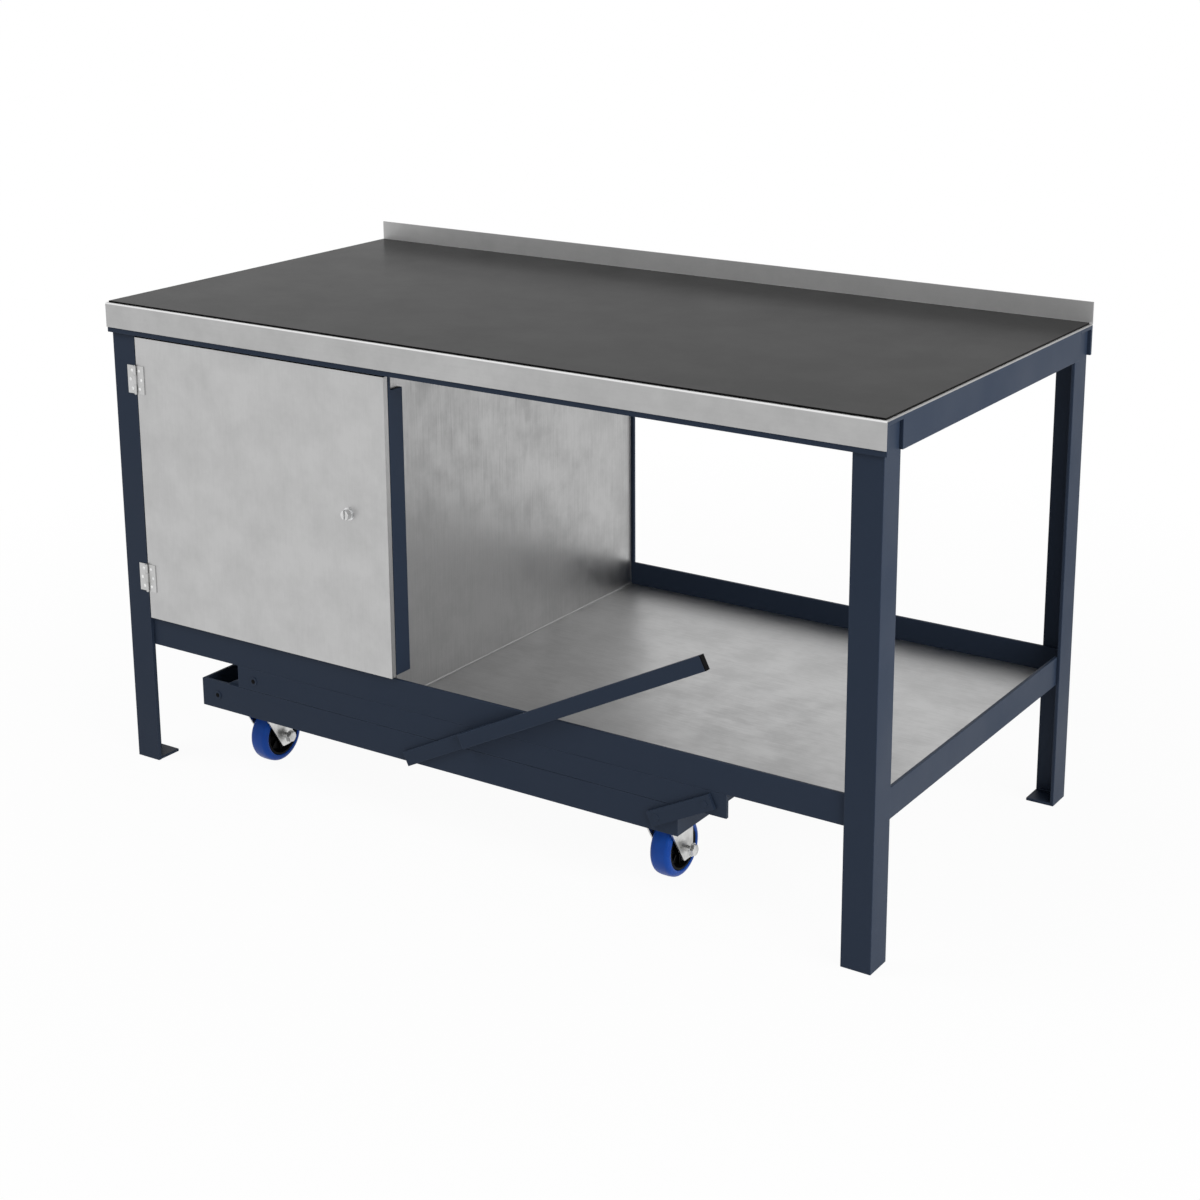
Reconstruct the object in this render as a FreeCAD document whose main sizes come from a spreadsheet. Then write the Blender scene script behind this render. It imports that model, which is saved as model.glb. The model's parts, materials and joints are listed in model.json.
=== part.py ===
"""Mobile workbench with a cupboard, an open shelf and a lever-worked castor frame.

Millimetres, Z up, X along the bench, Y from the front to the back.
Every size is a named cell of the sheet "sizes"; the parts are bound to those cells.
"""
import FreeCAD
import Part
import Sketcher
import os

doc = FreeCAD.newDocument("workbench")

# Driving sizes: one value each
SIZES = {
    # bench frame and top
    "frame_length": 1500, "frame_depth": 750, "work_height": 840, "origin_shift": 3.5,
    "angle_width": 50, "angle_thickness": 6, "foot_thickness": 5,
    "sheet_thickness": 2, "fold_depth": 43, "upstand_height": 37, "bend_radius": 3,
    "mat_thickness": 3, "mat_side_margin": 4, "mat_front_margin": 5, "mat_rear_margin": 4,
    # shelf and cupboard
    "shelf_rail_bottom": 222, "shelf_thickness": 2, "shelf_edge_gap": 1, "panel_thickness": 2,
    "door_width": 550, "door_side_gap": 2, "door_top_gap": 4, "door_bottom_gap": 2,
    "door_thickness": 10, "door_sheet": 1.5, "door_stop_gap": 1,
    "jamb_width": 35, "jamb_overlap": 1, "jamb_foot_gap": 5, "jamb_flange_drop": 28,
    "rear_post_width": 50, "divider_foot": 20, "divider_bend": 4,
    # hinges
    "hinge_height": 50, "hinge_inset": 75, "leaf_width": 19, "leaf_thickness": 1.5,
    "knuckle_diameter": 5.4, "knuckle_stand_off": 3, "knuckle_gap": 0.4, "leaf_cut_gap": 0.6,
    "hinge_pin_diameter": 2.6, "hinge_pin_clearance": 0.05, "hinge_pin_head": 1.2,
    "screw_head_diameter": 6, "screw_head_height": 1.1, "screw_diameter": 3.6, "screw_clearance": 0.1,
    "screw_length": 5, "screw_pitch": 16, "screw_inner": 8, "screw_outer": 12.5,
    # lock
    "lock_edge_distance": 80, "lock_rise": 271, "lock_flange_diameter": 22, "lock_flange_height": 2,
    "lock_barrel_diameter": 17, "lock_clearance": 0.1, "lock_spindle_diameter": 8, "spindle_clearance": 0.05,
    "knob_diameter": 17, "knob_height": 11, "knob_slot_width": 3, "knob_slot_depth": 4,
    "cam_gap": 0.6, "cam_thickness": 3, "cam_length": 58, "cam_width": 16, "cam_eye_diameter": 20,
    # lifting links and lever
    "apron_setback": 244, "plate_thickness": 6, "pivot_drop": 21.5, "pivot_inset": 36,
    "link_length": 96.5, "link_rest_angle": 26.8, "link_width": 25, "link_thickness": 6, "link_end": 14,
    "stud_diameter": 12, "stud_clearance": 0.08, "stud_proud": 0.8, "nut_diameter": 20, "nut_height": 6,
    "stud_head_diameter": 14, "stud_head_height": 1.6,
    "lever_pivot": 6, "lever_tail": 44, "lever_overlap": 60, "arm_start": 3, "arm_reach": 508,
    "arm_depth": 10, "arm_wall": 1.5, "cap_flange": 2, "cap_plug": 14, "cap_clearance": 0.1,
    # castor frame
    "tie_height": 50, "tie_gap": 0.8, "channel_width": 142, "channel_wall": 5,
    # castors
    "castor_setback": 65, "castor_plate_length": 105, "castor_plate_width": 85,
    "castor_plate_thickness": 4, "bolt_pitch_long": 80, "bolt_pitch_wide": 60,
    "bolt_diameter": 8, "bolt_clearance": 0.5, "bolt_flats": 13, "bolt_head_height": 5.5,
    "race_diameter": 54, "race_height": 6, "race_gap": 0.4, "dish_diameter": 58, "dish_height": 5.6,
    "crown_thickness": 3, "crown_front": 20, "fork_bend": 6, "fork_corner": 5, "wheel_top_gap": 5, "wheel_radius": 50, "tyre_width": 36,
    "tyre_shoulder": 7, "hub_radius": 38, "hub_inset": 1, "rim_depth": 7, "web_thickness": 12,
    "boss_radius": 13, "boss_gap": 0.5, "cheek_gap": 3, "cheek_thickness": 3, "trail": 33,
    "cheek_toe": 8, "cheek_heel": 12, "cheek_back": 18, "cheek_drop": 19,
    "axle_diameter": 10, "axle_clearance": 0.08, "axle_head_height": 6.5, "axle_head_flats": 17, "axle_end": 4.5,
    "kingpin_diameter": 12, "kingpin_clearance": 0.08, "kingpin_head_diameter": 20,
    "kingpin_head_height": 4, "kingpin_head_gap": 0.3,
}

# Positions worked out from the sizes
DERIVED = {
    "half_length": "frame_length / 2",
    "frame_front": "origin_shift - frame_depth / 2",
    "frame_rear": "origin_shift + frame_depth / 2",
    "top_rail_top": "work_height - sheet_thickness",
    "top_rail_bottom": "top_rail_top - angle_width",
    "top_flange_bottom": "top_rail_top - angle_thickness",
    "fold_bottom": "work_height - fold_depth",
    "upstand_top": "work_height + upstand_height",
    "mat_top": "work_height + mat_thickness",
    "leg_side": "half_length - angle_thickness",
    "leg_inner": "leg_side - angle_thickness",
    "leg_edge": "leg_side - angle_width",
    "leg_front": "frame_front + angle_thickness",
    "leg_rear": "frame_rear - angle_thickness",
    "seat_front": "leg_front + angle_thickness",
    "seat_rear": "leg_rear - angle_thickness",
    "shelf_rail_top": "shelf_rail_bottom + angle_width",
    "shelf_flange_top": "shelf_rail_bottom + angle_thickness",
    "shelf_top": "shelf_flange_top + shelf_thickness",
    "rail_inner": "leg_inner - angle_thickness",
    "rail_front_back": "seat_front + angle_thickness",
    "rail_rear_front": "seat_rear - angle_thickness",
    "door_left": "door_side_gap - leg_edge",
    "door_right": "door_left + door_width",
    "door_bottom": "shelf_rail_top + door_bottom_gap",
    "door_top": "top_rail_bottom - door_top_gap",
    "door_back": "leg_front + door_thickness",
    "jamb_front": "door_back + door_stop_gap",
    "jamb_back": "jamb_front + angle_thickness",
    "jamb_face": "door_right + jamb_overlap",
    "divider_face": "jamb_face - angle_thickness",
    "divider_inner": "divider_face - panel_thickness",
    "hinge_x": "door_side_gap / 2 - leg_edge",
    "hinge_y": "leg_front - knuckle_stand_off",
    "hinge_low": "door_bottom + hinge_inset",
    "hinge_high": "door_top - hinge_inset",
    "hinge_half": "hinge_height / 2",
    "knuckle_third": "hinge_height / 6",
    "knuckle_radius": "knuckle_diameter / 2",
    "hinge_bore": "hinge_pin_diameter + 2 * hinge_pin_clearance",
    "screw_hole": "screw_diameter + 2 * screw_clearance",
    "lock_x": "door_right - lock_edge_distance",
    "lock_z": "door_bottom + lock_rise",
    "lock_hole": "lock_barrel_diameter + 2 * lock_clearance",
    "lock_bore": "lock_spindle_diameter + 2 * spindle_clearance",
    "knob_back": "leg_front - lock_flange_height",
    "knob_front": "knob_back - knob_height",
    "knob_half": "knob_diameter / 2",
    "slot_half": "knob_slot_width / 2",
    "cam_front": "jamb_back + cam_gap",
    "cam_back": "cam_front + cam_thickness",
    "cam_half": "cam_width / 2",
    "apron_half": "leg_inner - apron_setback",
    "plate_back": "seat_front + plate_thickness",
    "plate_rear": "seat_rear - plate_thickness",
    "pivot_x": "apron_half - pivot_inset",
    "pivot_z": "shelf_rail_bottom - pivot_drop",
    "swing_x": "link_length * cos(link_rest_angle * 1 deg)",
    "swing_z": "link_length * sin(link_rest_angle * 1 deg)",
    "stud_hole": "stud_diameter + 2 * stud_clearance",
    "link_half": "link_width / 2",
    "arm_back": "seat_front - link_thickness",
    "arm_front": "arm_back - arm_depth",
    "tie_middle": "pivot_z - swing_z",
    "tie_top": "tie_middle + tie_height / 2",
    "tie_bottom": "tie_middle - tie_height / 2",
    "apron_bottom": "tie_top + tie_gap",
    "tie_left": "0 - apron_half - swing_x",
    "tie_right": "apron_half - swing_x",
    "web_top": "tie_bottom + channel_wall",
    "castor_left": "tie_left + channel_width / 2",
    "castor_right": "tie_right - channel_width / 2",
    "castor_front": "plate_back + castor_setback",
    "castor_rear": "plate_rear - castor_setback",
    "castor_plate_bottom": "tie_bottom - castor_plate_thickness",
    "plate_half_long": "castor_plate_length / 2",
    "plate_half_wide": "castor_plate_width / 2",
    "bolt_half_long": "bolt_pitch_long / 2",
    "bolt_half_wide": "bolt_pitch_wide / 2",
    "bolt_hole": "bolt_diameter + 2 * bolt_clearance",
    "race_bottom": "castor_plate_bottom - race_height",
    "dish_top": "race_bottom - race_gap",
    "crown_top": "dish_top - dish_height",
    "crown_bottom": "crown_top - crown_thickness",
    "axle_z": "crown_bottom - wheel_top_gap - wheel_radius",
    "tyre_half": "tyre_width / 2",
    "shoulder_cut": "tyre_shoulder * (1 - sqrt(0.5))",
    "hub_half": "tyre_half - hub_inset",
    "web_half": "web_thickness / 2",
    "rim_inner": "hub_radius - rim_depth",
    "cheek_inner": "tyre_half + cheek_gap",
    "fork_half": "cheek_inner + cheek_thickness",
    "boss_half": "cheek_inner - boss_gap",
    "axle_hole": "axle_diameter + 2 * axle_clearance",
    "bore_radius": "axle_diameter / 2 + axle_clearance",
    "axle_hex_half": "axle_head_flats / 2",
    "axle_hex_corner": "axle_head_flats / sqrt(3)",
    "axle_hex_side": "axle_hex_corner / 2",
    "bolt_hex_half": "bolt_flats / 2",
    "bolt_hex_corner": "bolt_flats / sqrt(3)",
    "bolt_hex_side": "bolt_hex_corner / 2",
    "kingpin_hole": "kingpin_diameter + 2 * kingpin_clearance",
    "kingpin_head_top": "crown_bottom - kingpin_head_gap",
    "kingpin_head_low": "kingpin_head_top - kingpin_head_height",
}

sheet = doc.addObject("Spreadsheet::Sheet", "sizes")
row = 0
for name, content in list(SIZES.items()) + list(DERIVED.items()):
    row += 1
    sheet.set(f"A{row}", name)
    sheet.set(f"B{row}", str(content) if name in SIZES else "=" + content)
    sheet.setAlias(f"B{row}", name)
doc.recompute()


def value(text):
    """Number that a sum of named sizes has now, such as "leg_front - leaf_thickness"."""
    total = 0.0
    sign = 1.0
    for word in text.split():
        if word in "+-":
            sign = 1.0 if word == "+" else -1.0
        else:
            total += sign * float(sheet.get(word) if word[0].isalpha() else word)
            sign = 1.0
    return total


def bound(text):
    """The same sum as an expression that reads the sheet."""
    return " ".join("sizes." + word if word[0].isalpha() else word for word in text.split())


def pin(sketch, geometry, end, x, y):
    """Ties one point of a sketch to named sizes."""
    for kind, text in (("DistanceX", x), ("DistanceY", y)):
        index = sketch.addConstraint(Sketcher.Constraint(kind, -1, 1, geometry, end, value(text)))
        sketch.setExpression(f"Constraints[{index}]", bound(text))


def draw(sketch, outlines, circles):
    """Draws closed polygons and circles with every corner, centre and diameter tied to the sheet."""
    for points in outlines:
        corners = [FreeCAD.Vector(value(x), value(y), 0) for x, y in points]
        first = sketch.GeometryCount
        count = len(corners)
        for i in range(count):
            sketch.addGeometry(Part.LineSegment(corners[i], corners[(i + 1) % count]))
        for i in range(count):
            sketch.addConstraint(Sketcher.Constraint("Coincident", first + i, 2, first + (i + 1) % count, 1))
        for i, (x, y) in enumerate(points):
            pin(sketch, first + i, 1, x, y)
    for x, y, diameter in circles:
        centre = FreeCAD.Vector(value(x), value(y), 0)
        circle = sketch.addGeometry(Part.Circle(centre, FreeCAD.Vector(0, 0, 1), value(diameter) / 2))
        pin(sketch, circle, 3, x, y)
        index = sketch.addConstraint(Sketcher.Constraint("Diameter", circle, value(diameter)))
        sketch.setExpression(f"Constraints[{index}]", bound(diameter))


PLANES = {"X": "YZ_Plane", "Y": "XZ_Plane", "Z": "XY_Plane"}


def new_sketch(body, axis):
    """Sketch on the body's own plane across an axis."""
    sketch = body.newObject("Sketcher::SketchObject", body.Name + "_sketch")
    plane = next(item for item in body.Origin.OriginFeatures if item.Role == PLANES[axis])
    sketch.AttachmentSupport = [(plane, "")]
    sketch.MapMode = "FlatFace"
    return sketch


def shape_feature(kind, body, axis, low, high, outlines, circles):
    """Pads or pockets a drawing between two positions along an axis."""
    sketch = new_sketch(body, axis)
    draw(sketch, outlines, circles)
    start_low = (kind == "Pad") != (axis == "Y")
    start = bound(low) if start_low else bound(high)
    sketch.setExpression("AttachmentOffset.Base.z", f"-({start})" if axis == "Y" else start)
    feature = body.newObject("PartDesign::" + kind, body.Name + "_" + kind.lower())
    feature.Profile = sketch
    feature.Type = "Length"
    feature.setExpression("Length", f"({bound(high)}) - ({bound(low)})")
    body.Tip = feature
    return feature


def new_body(label):
    body = doc.addObject("PartDesign::Body", label)
    body.Label = label
    body.AllowCompound = True
    return body


def add(body, axis, low, high, outlines=(), circles=()):
    return shape_feature("Pad", body, axis, low, high, outlines, circles)


def cut(body, axis, low, high, outlines=(), circles=()):
    return shape_feature("Pocket", body, axis, low, high, outlines, circles)


def bar(label, axis, low, high, outlines=(), circles=()):
    """New body made by one pad along an axis."""
    body = new_body(label)
    add(body, axis, low, high, outlines, circles)
    return body


def spun(label, points):
    """New body turned about its own X axis from points (along the axis, radius)."""
    body = new_body(label)
    sketch = new_sketch(body, "Y")
    draw(sketch, [points], ())
    feature = body.newObject("PartDesign::Revolution", label + "_turn")
    feature.Profile = sketch
    feature.ReferenceAxis = (sketch, ["H_Axis"])
    feature.Angle = 360
    body.Tip = feature
    return body


def mirrored(points):
    """The same half outline on the other side of the middle, in the order that closes it."""
    return [("- " + along.replace(" - ", " + "), radius) for along, radius in reversed(points)]


def rounded(body, radius, chosen):
    """Fillets the edges that the test picks."""
    doc.recompute()
    base = body.Tip
    names = [f"Edge{i + 1}" for i, edge in enumerate(base.Shape.Edges) if chosen(edge)]
    fillet = body.newObject("PartDesign::Fillet", body.Name + "_fillet")
    fillet.Base = (base, names)
    fillet.setExpression("Radius", bound(radius))
    body.Tip = fillet


def place(body, x="0", y="0", z="0"):
    """Moves a body, with its position tied to the sheet."""
    for name, text in (("x", x), ("y", y), ("z", z)):
        body.setExpression("Placement.Base." + name, bound(text))


def tilt(body, x):
    """Sets a link body on its upper pivot at the links' angle of rest."""
    body.Placement = FreeCAD.Placement(FreeCAD.Vector(), FreeCAD.Rotation(FreeCAD.Vector(0, -1, 0), 10))
    place(body, x, "0", "pivot_z")
    body.setExpression("Placement.Rotation.Angle", "sizes.link_rest_angle * 1 deg")


def box(x0, x1, y0, y1):
    """Corner points of a rectangle."""
    return [(x0, y0), (x1, y0), (x1, y1), (x0, y1)]


def hexagon(u, v, size):
    """Corner points of a hexagon about a centre, from the three named measures of its size."""
    corner, side, half = size + "_hex_corner", size + "_hex_side", size + "_hex_half"
    return [(f"{u} + {corner}", v), (f"{u} + {side}", f"{v} + {half}"), (f"{u} - {side}", f"{v} + {half}"),
            (f"{u} - {corner}", v), (f"{u} - {side}", f"{v} - {half}"), (f"{u} + {side}", f"{v} - {half}")]


def along_x(y, z):
    """Test for a straight edge along X at a position."""
    def chosen(edge):
        ends = edge.Vertexes
        level = all(abs(v.Point.y - value(y)) < 0.01 and abs(v.Point.z - value(z)) < 0.01 for v in ends)
        return level and len(ends) == 2
    return chosen


def angle(u, v, su, sv, w="angle_width", t="angle_thickness"):
    """L section with its outer corner at (u, v), flanges running to the signs su and sv."""
    far_u, near_u = f"{u} {su} {w}", f"{u} {su} {t}"
    far_v, near_v = f"{v} {sv} {w}", f"{v} {sv} {t}"
    return [(u, v), (far_u, v), (far_u, near_v), (near_u, near_v), (near_u, far_v), (u, far_v)]


# Worktop: one folded sheet with a mat on it
worktop = bar("worktop_sheet", "X", "- half_length", "half_length", [[
    ("frame_front - sheet_thickness", "fold_bottom"), ("frame_front", "fold_bottom"),
    ("frame_front", "top_rail_top"), ("frame_rear", "top_rail_top"),
    ("frame_rear", "upstand_top"), ("frame_rear - sheet_thickness", "upstand_top"),
    ("frame_rear - sheet_thickness", "work_height"), ("frame_front - sheet_thickness", "work_height"),
]])
front_bend = along_x("frame_front - sheet_thickness", "work_height")
rear_bend = along_x("frame_rear - sheet_thickness", "work_height")
rear_heel = along_x("frame_rear", "top_rail_top")
rounded(worktop, "bend_radius", lambda edge: front_bend(edge) or rear_bend(edge) or rear_heel(edge))
bar("worktop_mat", "Z", "work_height", "mat_top", [box(
    "mat_side_margin - half_length", "half_length - mat_side_margin",
    "frame_front - sheet_thickness + mat_front_margin", "frame_rear - sheet_thickness - mat_rear_margin")])

# Top frame of angle bars
bar("top_rail_front", "X", "- half_length", "half_length", [angle("frame_front", "top_rail_top", "+", "-")])
bar("top_rail_rear", "X", "- half_length", "half_length", [angle("frame_rear", "top_rail_top", "-", "-")])
for side, corner, inward in (("left", "- half_length", "+"), ("right", "half_length", "-")):
    bar("top_rail_" + side, "Y", "frame_front + angle_width", "frame_rear - angle_width",
        [angle(corner, "top_rail_top", inward, "-")])

# Legs and their foot plates
feet = []
legs = {}
for side, outer, inner, edge, in_x in (
        ("left", "- leg_side", "- leg_inner", "- leg_edge", "+"),
        ("right", "leg_side", "leg_inner", "leg_edge", "-")):
    for end, face, seat, in_y in (("front", "leg_front", "seat_front", "+"), ("rear", "leg_rear", "seat_rear", "-")):
        name = f"leg_{end}_{side}"
        legs[name] = bar(name, "Z", "0", "top_flange_bottom", [angle(outer, face, in_x, in_y)])
        feet.append(box(inner, edge, seat, f"{face} {in_y} angle_width"))
bar("foot_plates", "Z", "0", "foot_thickness", feet)

# Shelf tray
bar("shelf_rail_front", "X", "- leg_inner", "leg_inner", [angle("seat_front", "shelf_rail_bottom", "+", "+")])
bar("shelf_rail_rear", "X", "- leg_inner", "leg_inner", [angle("seat_rear", "shelf_rail_bottom", "-", "+")])
for side, corner, inward in (("left", "- leg_inner", "+"), ("right", "leg_inner", "-")):
    rail = bar("shelf_rail_" + side, "Y", "rail_front_back", "rail_rear_front",
               [angle(corner, "shelf_rail_bottom", inward, "+")])
    lap = box(corner, f"{corner} {inward} angle_width", "shelf_rail_bottom", "shelf_flange_top")
    cut(rail, "Y", "rail_front_back", "seat_front + angle_width", [lap])
    cut(rail, "Y", "seat_rear - angle_width", "rail_rear_front", [lap])
bar("shelf_sheet", "Z", "shelf_flange_top", "shelf_top", [box(
    "shelf_edge_gap - rail_inner", "rail_inner - shelf_edge_gap",
    "rail_front_back + shelf_edge_gap", "rail_rear_front - shelf_edge_gap")])

# Cupboard carcass
divider = bar("cupboard_divider", "Y", "jamb_back", "rail_rear_front - panel_thickness", [[
    ("divider_face - divider_foot", "shelf_top"), ("divider_face", "shelf_top"),
    ("divider_face", "top_flange_bottom"), ("divider_inner", "top_flange_bottom"),
    ("divider_inner", "shelf_top + panel_thickness"), ("divider_face - divider_foot", "shelf_top + panel_thickness")]])
rounded(divider, "divider_bend", lambda edge: all(
    abs(v.Point.x - value("divider_face")) < 0.01 and abs(v.Point.z - value("shelf_top")) < 0.01 for v in edge.Vertexes))
bar("cupboard_side", "X", "- rail_inner - panel_thickness", "- rail_inner",
    [box("seat_front", "seat_rear", "shelf_rail_top", "top_flange_bottom")])
bar("cupboard_back", "Y", "rail_rear_front - panel_thickness", "rail_rear_front",
    [box("- rail_inner", "divider_face", "shelf_top", "top_flange_bottom")])
jamb = bar("door_jamb", "Z", "shelf_rail_top + jamb_foot_gap", "top_flange_bottom",
           [box("jamb_face - jamb_width", "jamb_face", "jamb_front", "jamb_back")])
add(jamb, "Z", "shelf_rail_top + jamb_foot_gap", "top_rail_bottom - jamb_flange_drop",
    [box("divider_face", "jamb_face", "jamb_back", "jamb_front + jamb_width")])
bar("rear_post", "Z", "shelf_rail_top", "top_flange_bottom",
    [box("jamb_face - rear_post_width", "jamb_face", "rail_rear_front", "seat_rear")])

# Door pan, open at the back
door = bar("door_panel", "Y", "leg_front", "door_back", [box("door_left", "door_right", "door_bottom", "door_top")])
cut(door, "Y", "leg_front + door_sheet", "door_back", [box(
    "door_left + door_sheet", "door_right - door_sheet", "door_bottom + door_sheet", "door_top - door_sheet")])
cut(door, "Y", "leg_front", "leg_front + door_sheet", circles=[("lock_x", "lock_z", "lock_hole")])

# Hinges: a leaf on the leg with the pin, a leaf on the door, three screws in each
SCREW_ROWS = (("- screw_pitch", "screw_inner"), ("", "screw_outer"), ("+ screw_pitch", "screw_inner"))
for side, out, owner, depth in (("leg", "-", legs["leg_front_left"], "angle_thickness"),
                                ("door", "+", door, "door_sheet")):
    leaves = new_body("hinge_leaves_" + side)
    plates, gaps, holes = [], [], []
    for z in ("hinge_low", "hinge_high"):
        plates.append(box("hinge_x", f"hinge_x {out} leaf_width", f"{z} - hinge_half", f"{z} + hinge_half"))
        clear = f"hinge_x {out} knuckle_radius {out} leaf_cut_gap"
        low_third, high_third = f"{z} - knuckle_third", f"{z} + knuckle_third"
        if side == "leg":
            gaps.append(box("hinge_x", clear, f"{low_third} - knuckle_gap", f"{high_third} + knuckle_gap"))
        else:
            gaps.append(box("hinge_x", clear, f"{z} - hinge_half", low_third))
            gaps.append(box("hinge_x", clear, high_third, f"{z} + hinge_half"))
        holes += [(f"hinge_x {out} {across}", f"{z} {up}".strip(), "screw_hole") for up, across in SCREW_ROWS]
    add(leaves, "Y", "leg_front - leaf_thickness", "leg_front", plates)
    cut(leaves, "Y", "leg_front - leaf_thickness", "leg_front", gaps)
    cut(leaves, "Y", "leg_front - leaf_thickness", "leg_front", circles=holes)
    for z in ("hinge_low", "hinge_high"):
        low_third, high_third = f"{z} - knuckle_third", f"{z} + knuckle_third"
        if side == "leg":
            spans = [(f"{z} - hinge_half", f"{low_third} - knuckle_gap"),
                     (f"{high_third} + knuckle_gap", f"{z} + hinge_half")]
        else:
            spans = [(low_third, high_third)]
        for low, high in spans:
            add(leaves, "Z", low, high, circles=[("hinge_x", "hinge_y", "knuckle_diameter")])
        if side == "leg":
            add(leaves, "Z", f"{z} - hinge_half - hinge_pin_head", f"{z} + hinge_half + hinge_pin_head",
                circles=[("hinge_x", "hinge_y", "hinge_pin_diameter")])
        else:
            cut(leaves, "Z", low_third, high_third, circles=[("hinge_x", "hinge_y", "hinge_bore")])
    cut(owner, "Y", "leg_front", "leg_front + " + depth, circles=holes)
    screws = bar("hinge_screws_" + side, "Y", "leg_front - leaf_thickness - screw_head_height",
                 "leg_front - leaf_thickness", circles=[(x, z, "screw_head_diameter") for x, z, _ in holes])
    add(screws, "Y", "leg_front - leaf_thickness", "leg_front - leaf_thickness + screw_length",
        circles=[(x, z, "screw_diameter") for x, z, _ in holes])

# Cam lock
barrel = bar("lock_barrel", "Y", "knob_back", "leg_front", circles=[("lock_x", "lock_z", "lock_flange_diameter")])
add(barrel, "Y", "leg_front", "jamb_back", circles=[("lock_x", "lock_z", "lock_barrel_diameter")])
cut(barrel, "Y", "knob_back", "jamb_back", circles=[("lock_x", "lock_z", "lock_bore")])
knob = bar("lock_knob", "Y", "knob_front", "knob_back", circles=[("lock_x", "lock_z", "knob_diameter")])
cut(knob, "Y", "knob_front", "knob_front + knob_slot_depth", [box(
    "lock_x - slot_half", "lock_x + slot_half", "lock_z - knob_diameter", "lock_z + knob_diameter")])
add(knob, "Y", "knob_back", "cam_front", circles=[("lock_x", "lock_z", "lock_spindle_diameter")])
cam = bar("lock_cam", "Y", "cam_front", "cam_back", circles=[("lock_x", "lock_z", "cam_eye_diameter")])
add(cam, "Y", "cam_front", "cam_back", [box(
    "lock_x - cam_half", "lock_x + cam_half", "lock_z - cam_length", "lock_z")])

# Aprons fixed under the shelf rails carry the links' upper pivots
UPPER = [("- pivot_x", "pivot_z", "stud_hole"), ("pivot_x", "pivot_z", "stud_hole")]
LEVER_UPPER = ("lever_pivot", "pivot_z", "stud_hole")
apron_outline = box("- apron_half", "apron_half", "apron_bottom", "shelf_rail_bottom")
bar("apron_front", "Y", "seat_front", "plate_back", [apron_outline], UPPER + [LEVER_UPPER])
bar("apron_rear", "Y", "plate_rear", "seat_rear", [apron_outline], UPPER)

# Castor frame: two tie plates and two channels open at the top
LOWER = [(f"{x} - swing_x", "tie_middle", "stud_hole") for x in ("- pivot_x", "pivot_x")]
LEVER_LOWER = ("lever_pivot - swing_x", "tie_middle", "stud_hole")
tie_outline = box("tie_left", "tie_right", "tie_bottom", "tie_top")
bar("tie_front", "Y", "seat_front", "plate_back", [tie_outline], LOWER + [LEVER_LOWER])
bar("tie_rear", "Y", "plate_rear", "seat_rear", [tie_outline], LOWER)


def bolt_places(x, y):
    """Centres of the four bolts of a castor plate."""
    return [(f"{x} {a} bolt_half_wide", f"{y} {b} bolt_half_long") for a in "+-" for b in "+-"]


CASTORS = [(f"{end}_{side}", "castor_" + side, "castor_" + end) for side in ("left", "right") for end in ("front", "rear")]
for side, outer, inner in (("left", "tie_left", "tie_left + channel_width"),
                           ("right", "tie_right - channel_width", "tie_right")):
    channel = bar("channel_" + side, "Y", "plate_back", "plate_rear", [[
        (outer, "tie_bottom"), (inner, "tie_bottom"), (inner, "tie_top"),
        (f"{inner} - channel_wall", "tie_top"), (f"{inner} - channel_wall", "web_top"),
        (f"{outer} + channel_wall", "web_top"), (f"{outer} + channel_wall", "tie_top"), (outer, "tie_top")]])
    places = bolt_places("castor_" + side, "castor_front") + bolt_places("castor_" + side, "castor_rear")
    cut(channel, "Z", "tie_bottom", "web_top", circles=[(x, y, "bolt_hole") for x, y in places])

# Links: flat bars with a stud at each pivot; the right pair runs outside the plates, the left pair inside
NUT, HEAD = ("nut_diameter", "nut_height"), ("stud_head_diameter", "stud_head_height")
LINKS = (
    ("link_front_right", "pivot_x", "arm_back", "seat_front", "seat_front", "plate_back", "+", NUT),
    ("link_front_left", "- pivot_x", "plate_back", "plate_back + link_thickness", "plate_back", "seat_front", "-", HEAD),
    ("link_rear_right", "pivot_x", "seat_rear", "seat_rear + link_thickness", "seat_rear", "plate_rear", "-", NUT),
    ("link_rear_left", "- pivot_x", "plate_rear - link_thickness", "plate_rear", "plate_rear", "seat_rear", "+", HEAD),
)


def ordered(first, second, way):
    """Low and high ends of a run that starts at the first position."""
    return (first, second) if way == "+" else (second, first)


def link(label, x, low, high, root, far, way, end_piece, tail, tip, raised):
    """Flat bar on two studs that pass through the plates and end in a nut or a head."""
    body = bar(label, "Y", low, high, [box(
        f"- link_length - {tail}", tip, "- link_half", "link_half")])
    places = [("0", "0"), ("- link_length", "0")]
    add(body, "Y", *ordered(root, far, way), circles=[(px, pz, "stud_diameter") for px, pz in places])
    add(body, "Y", *ordered(far, f"{far} {way} {end_piece[1]}", way),
        circles=[(px, pz, end_piece[0]) for px, pz in places])
    if raised:
        face = low if way == "+" else high
        back = "-" if way == "+" else "+"
        add(body, "Y", *ordered(f"{face} {back} stud_proud", face, way),
            circles=[(px, pz, "stud_diameter") for px, pz in places])
    tilt(body, x)
    return body


for label, x, low, high, root, far, way, end_piece in LINKS:
    link(label, x, low, high, root, far, way, end_piece, "link_end", "link_end", end_piece is NUT)

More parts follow.
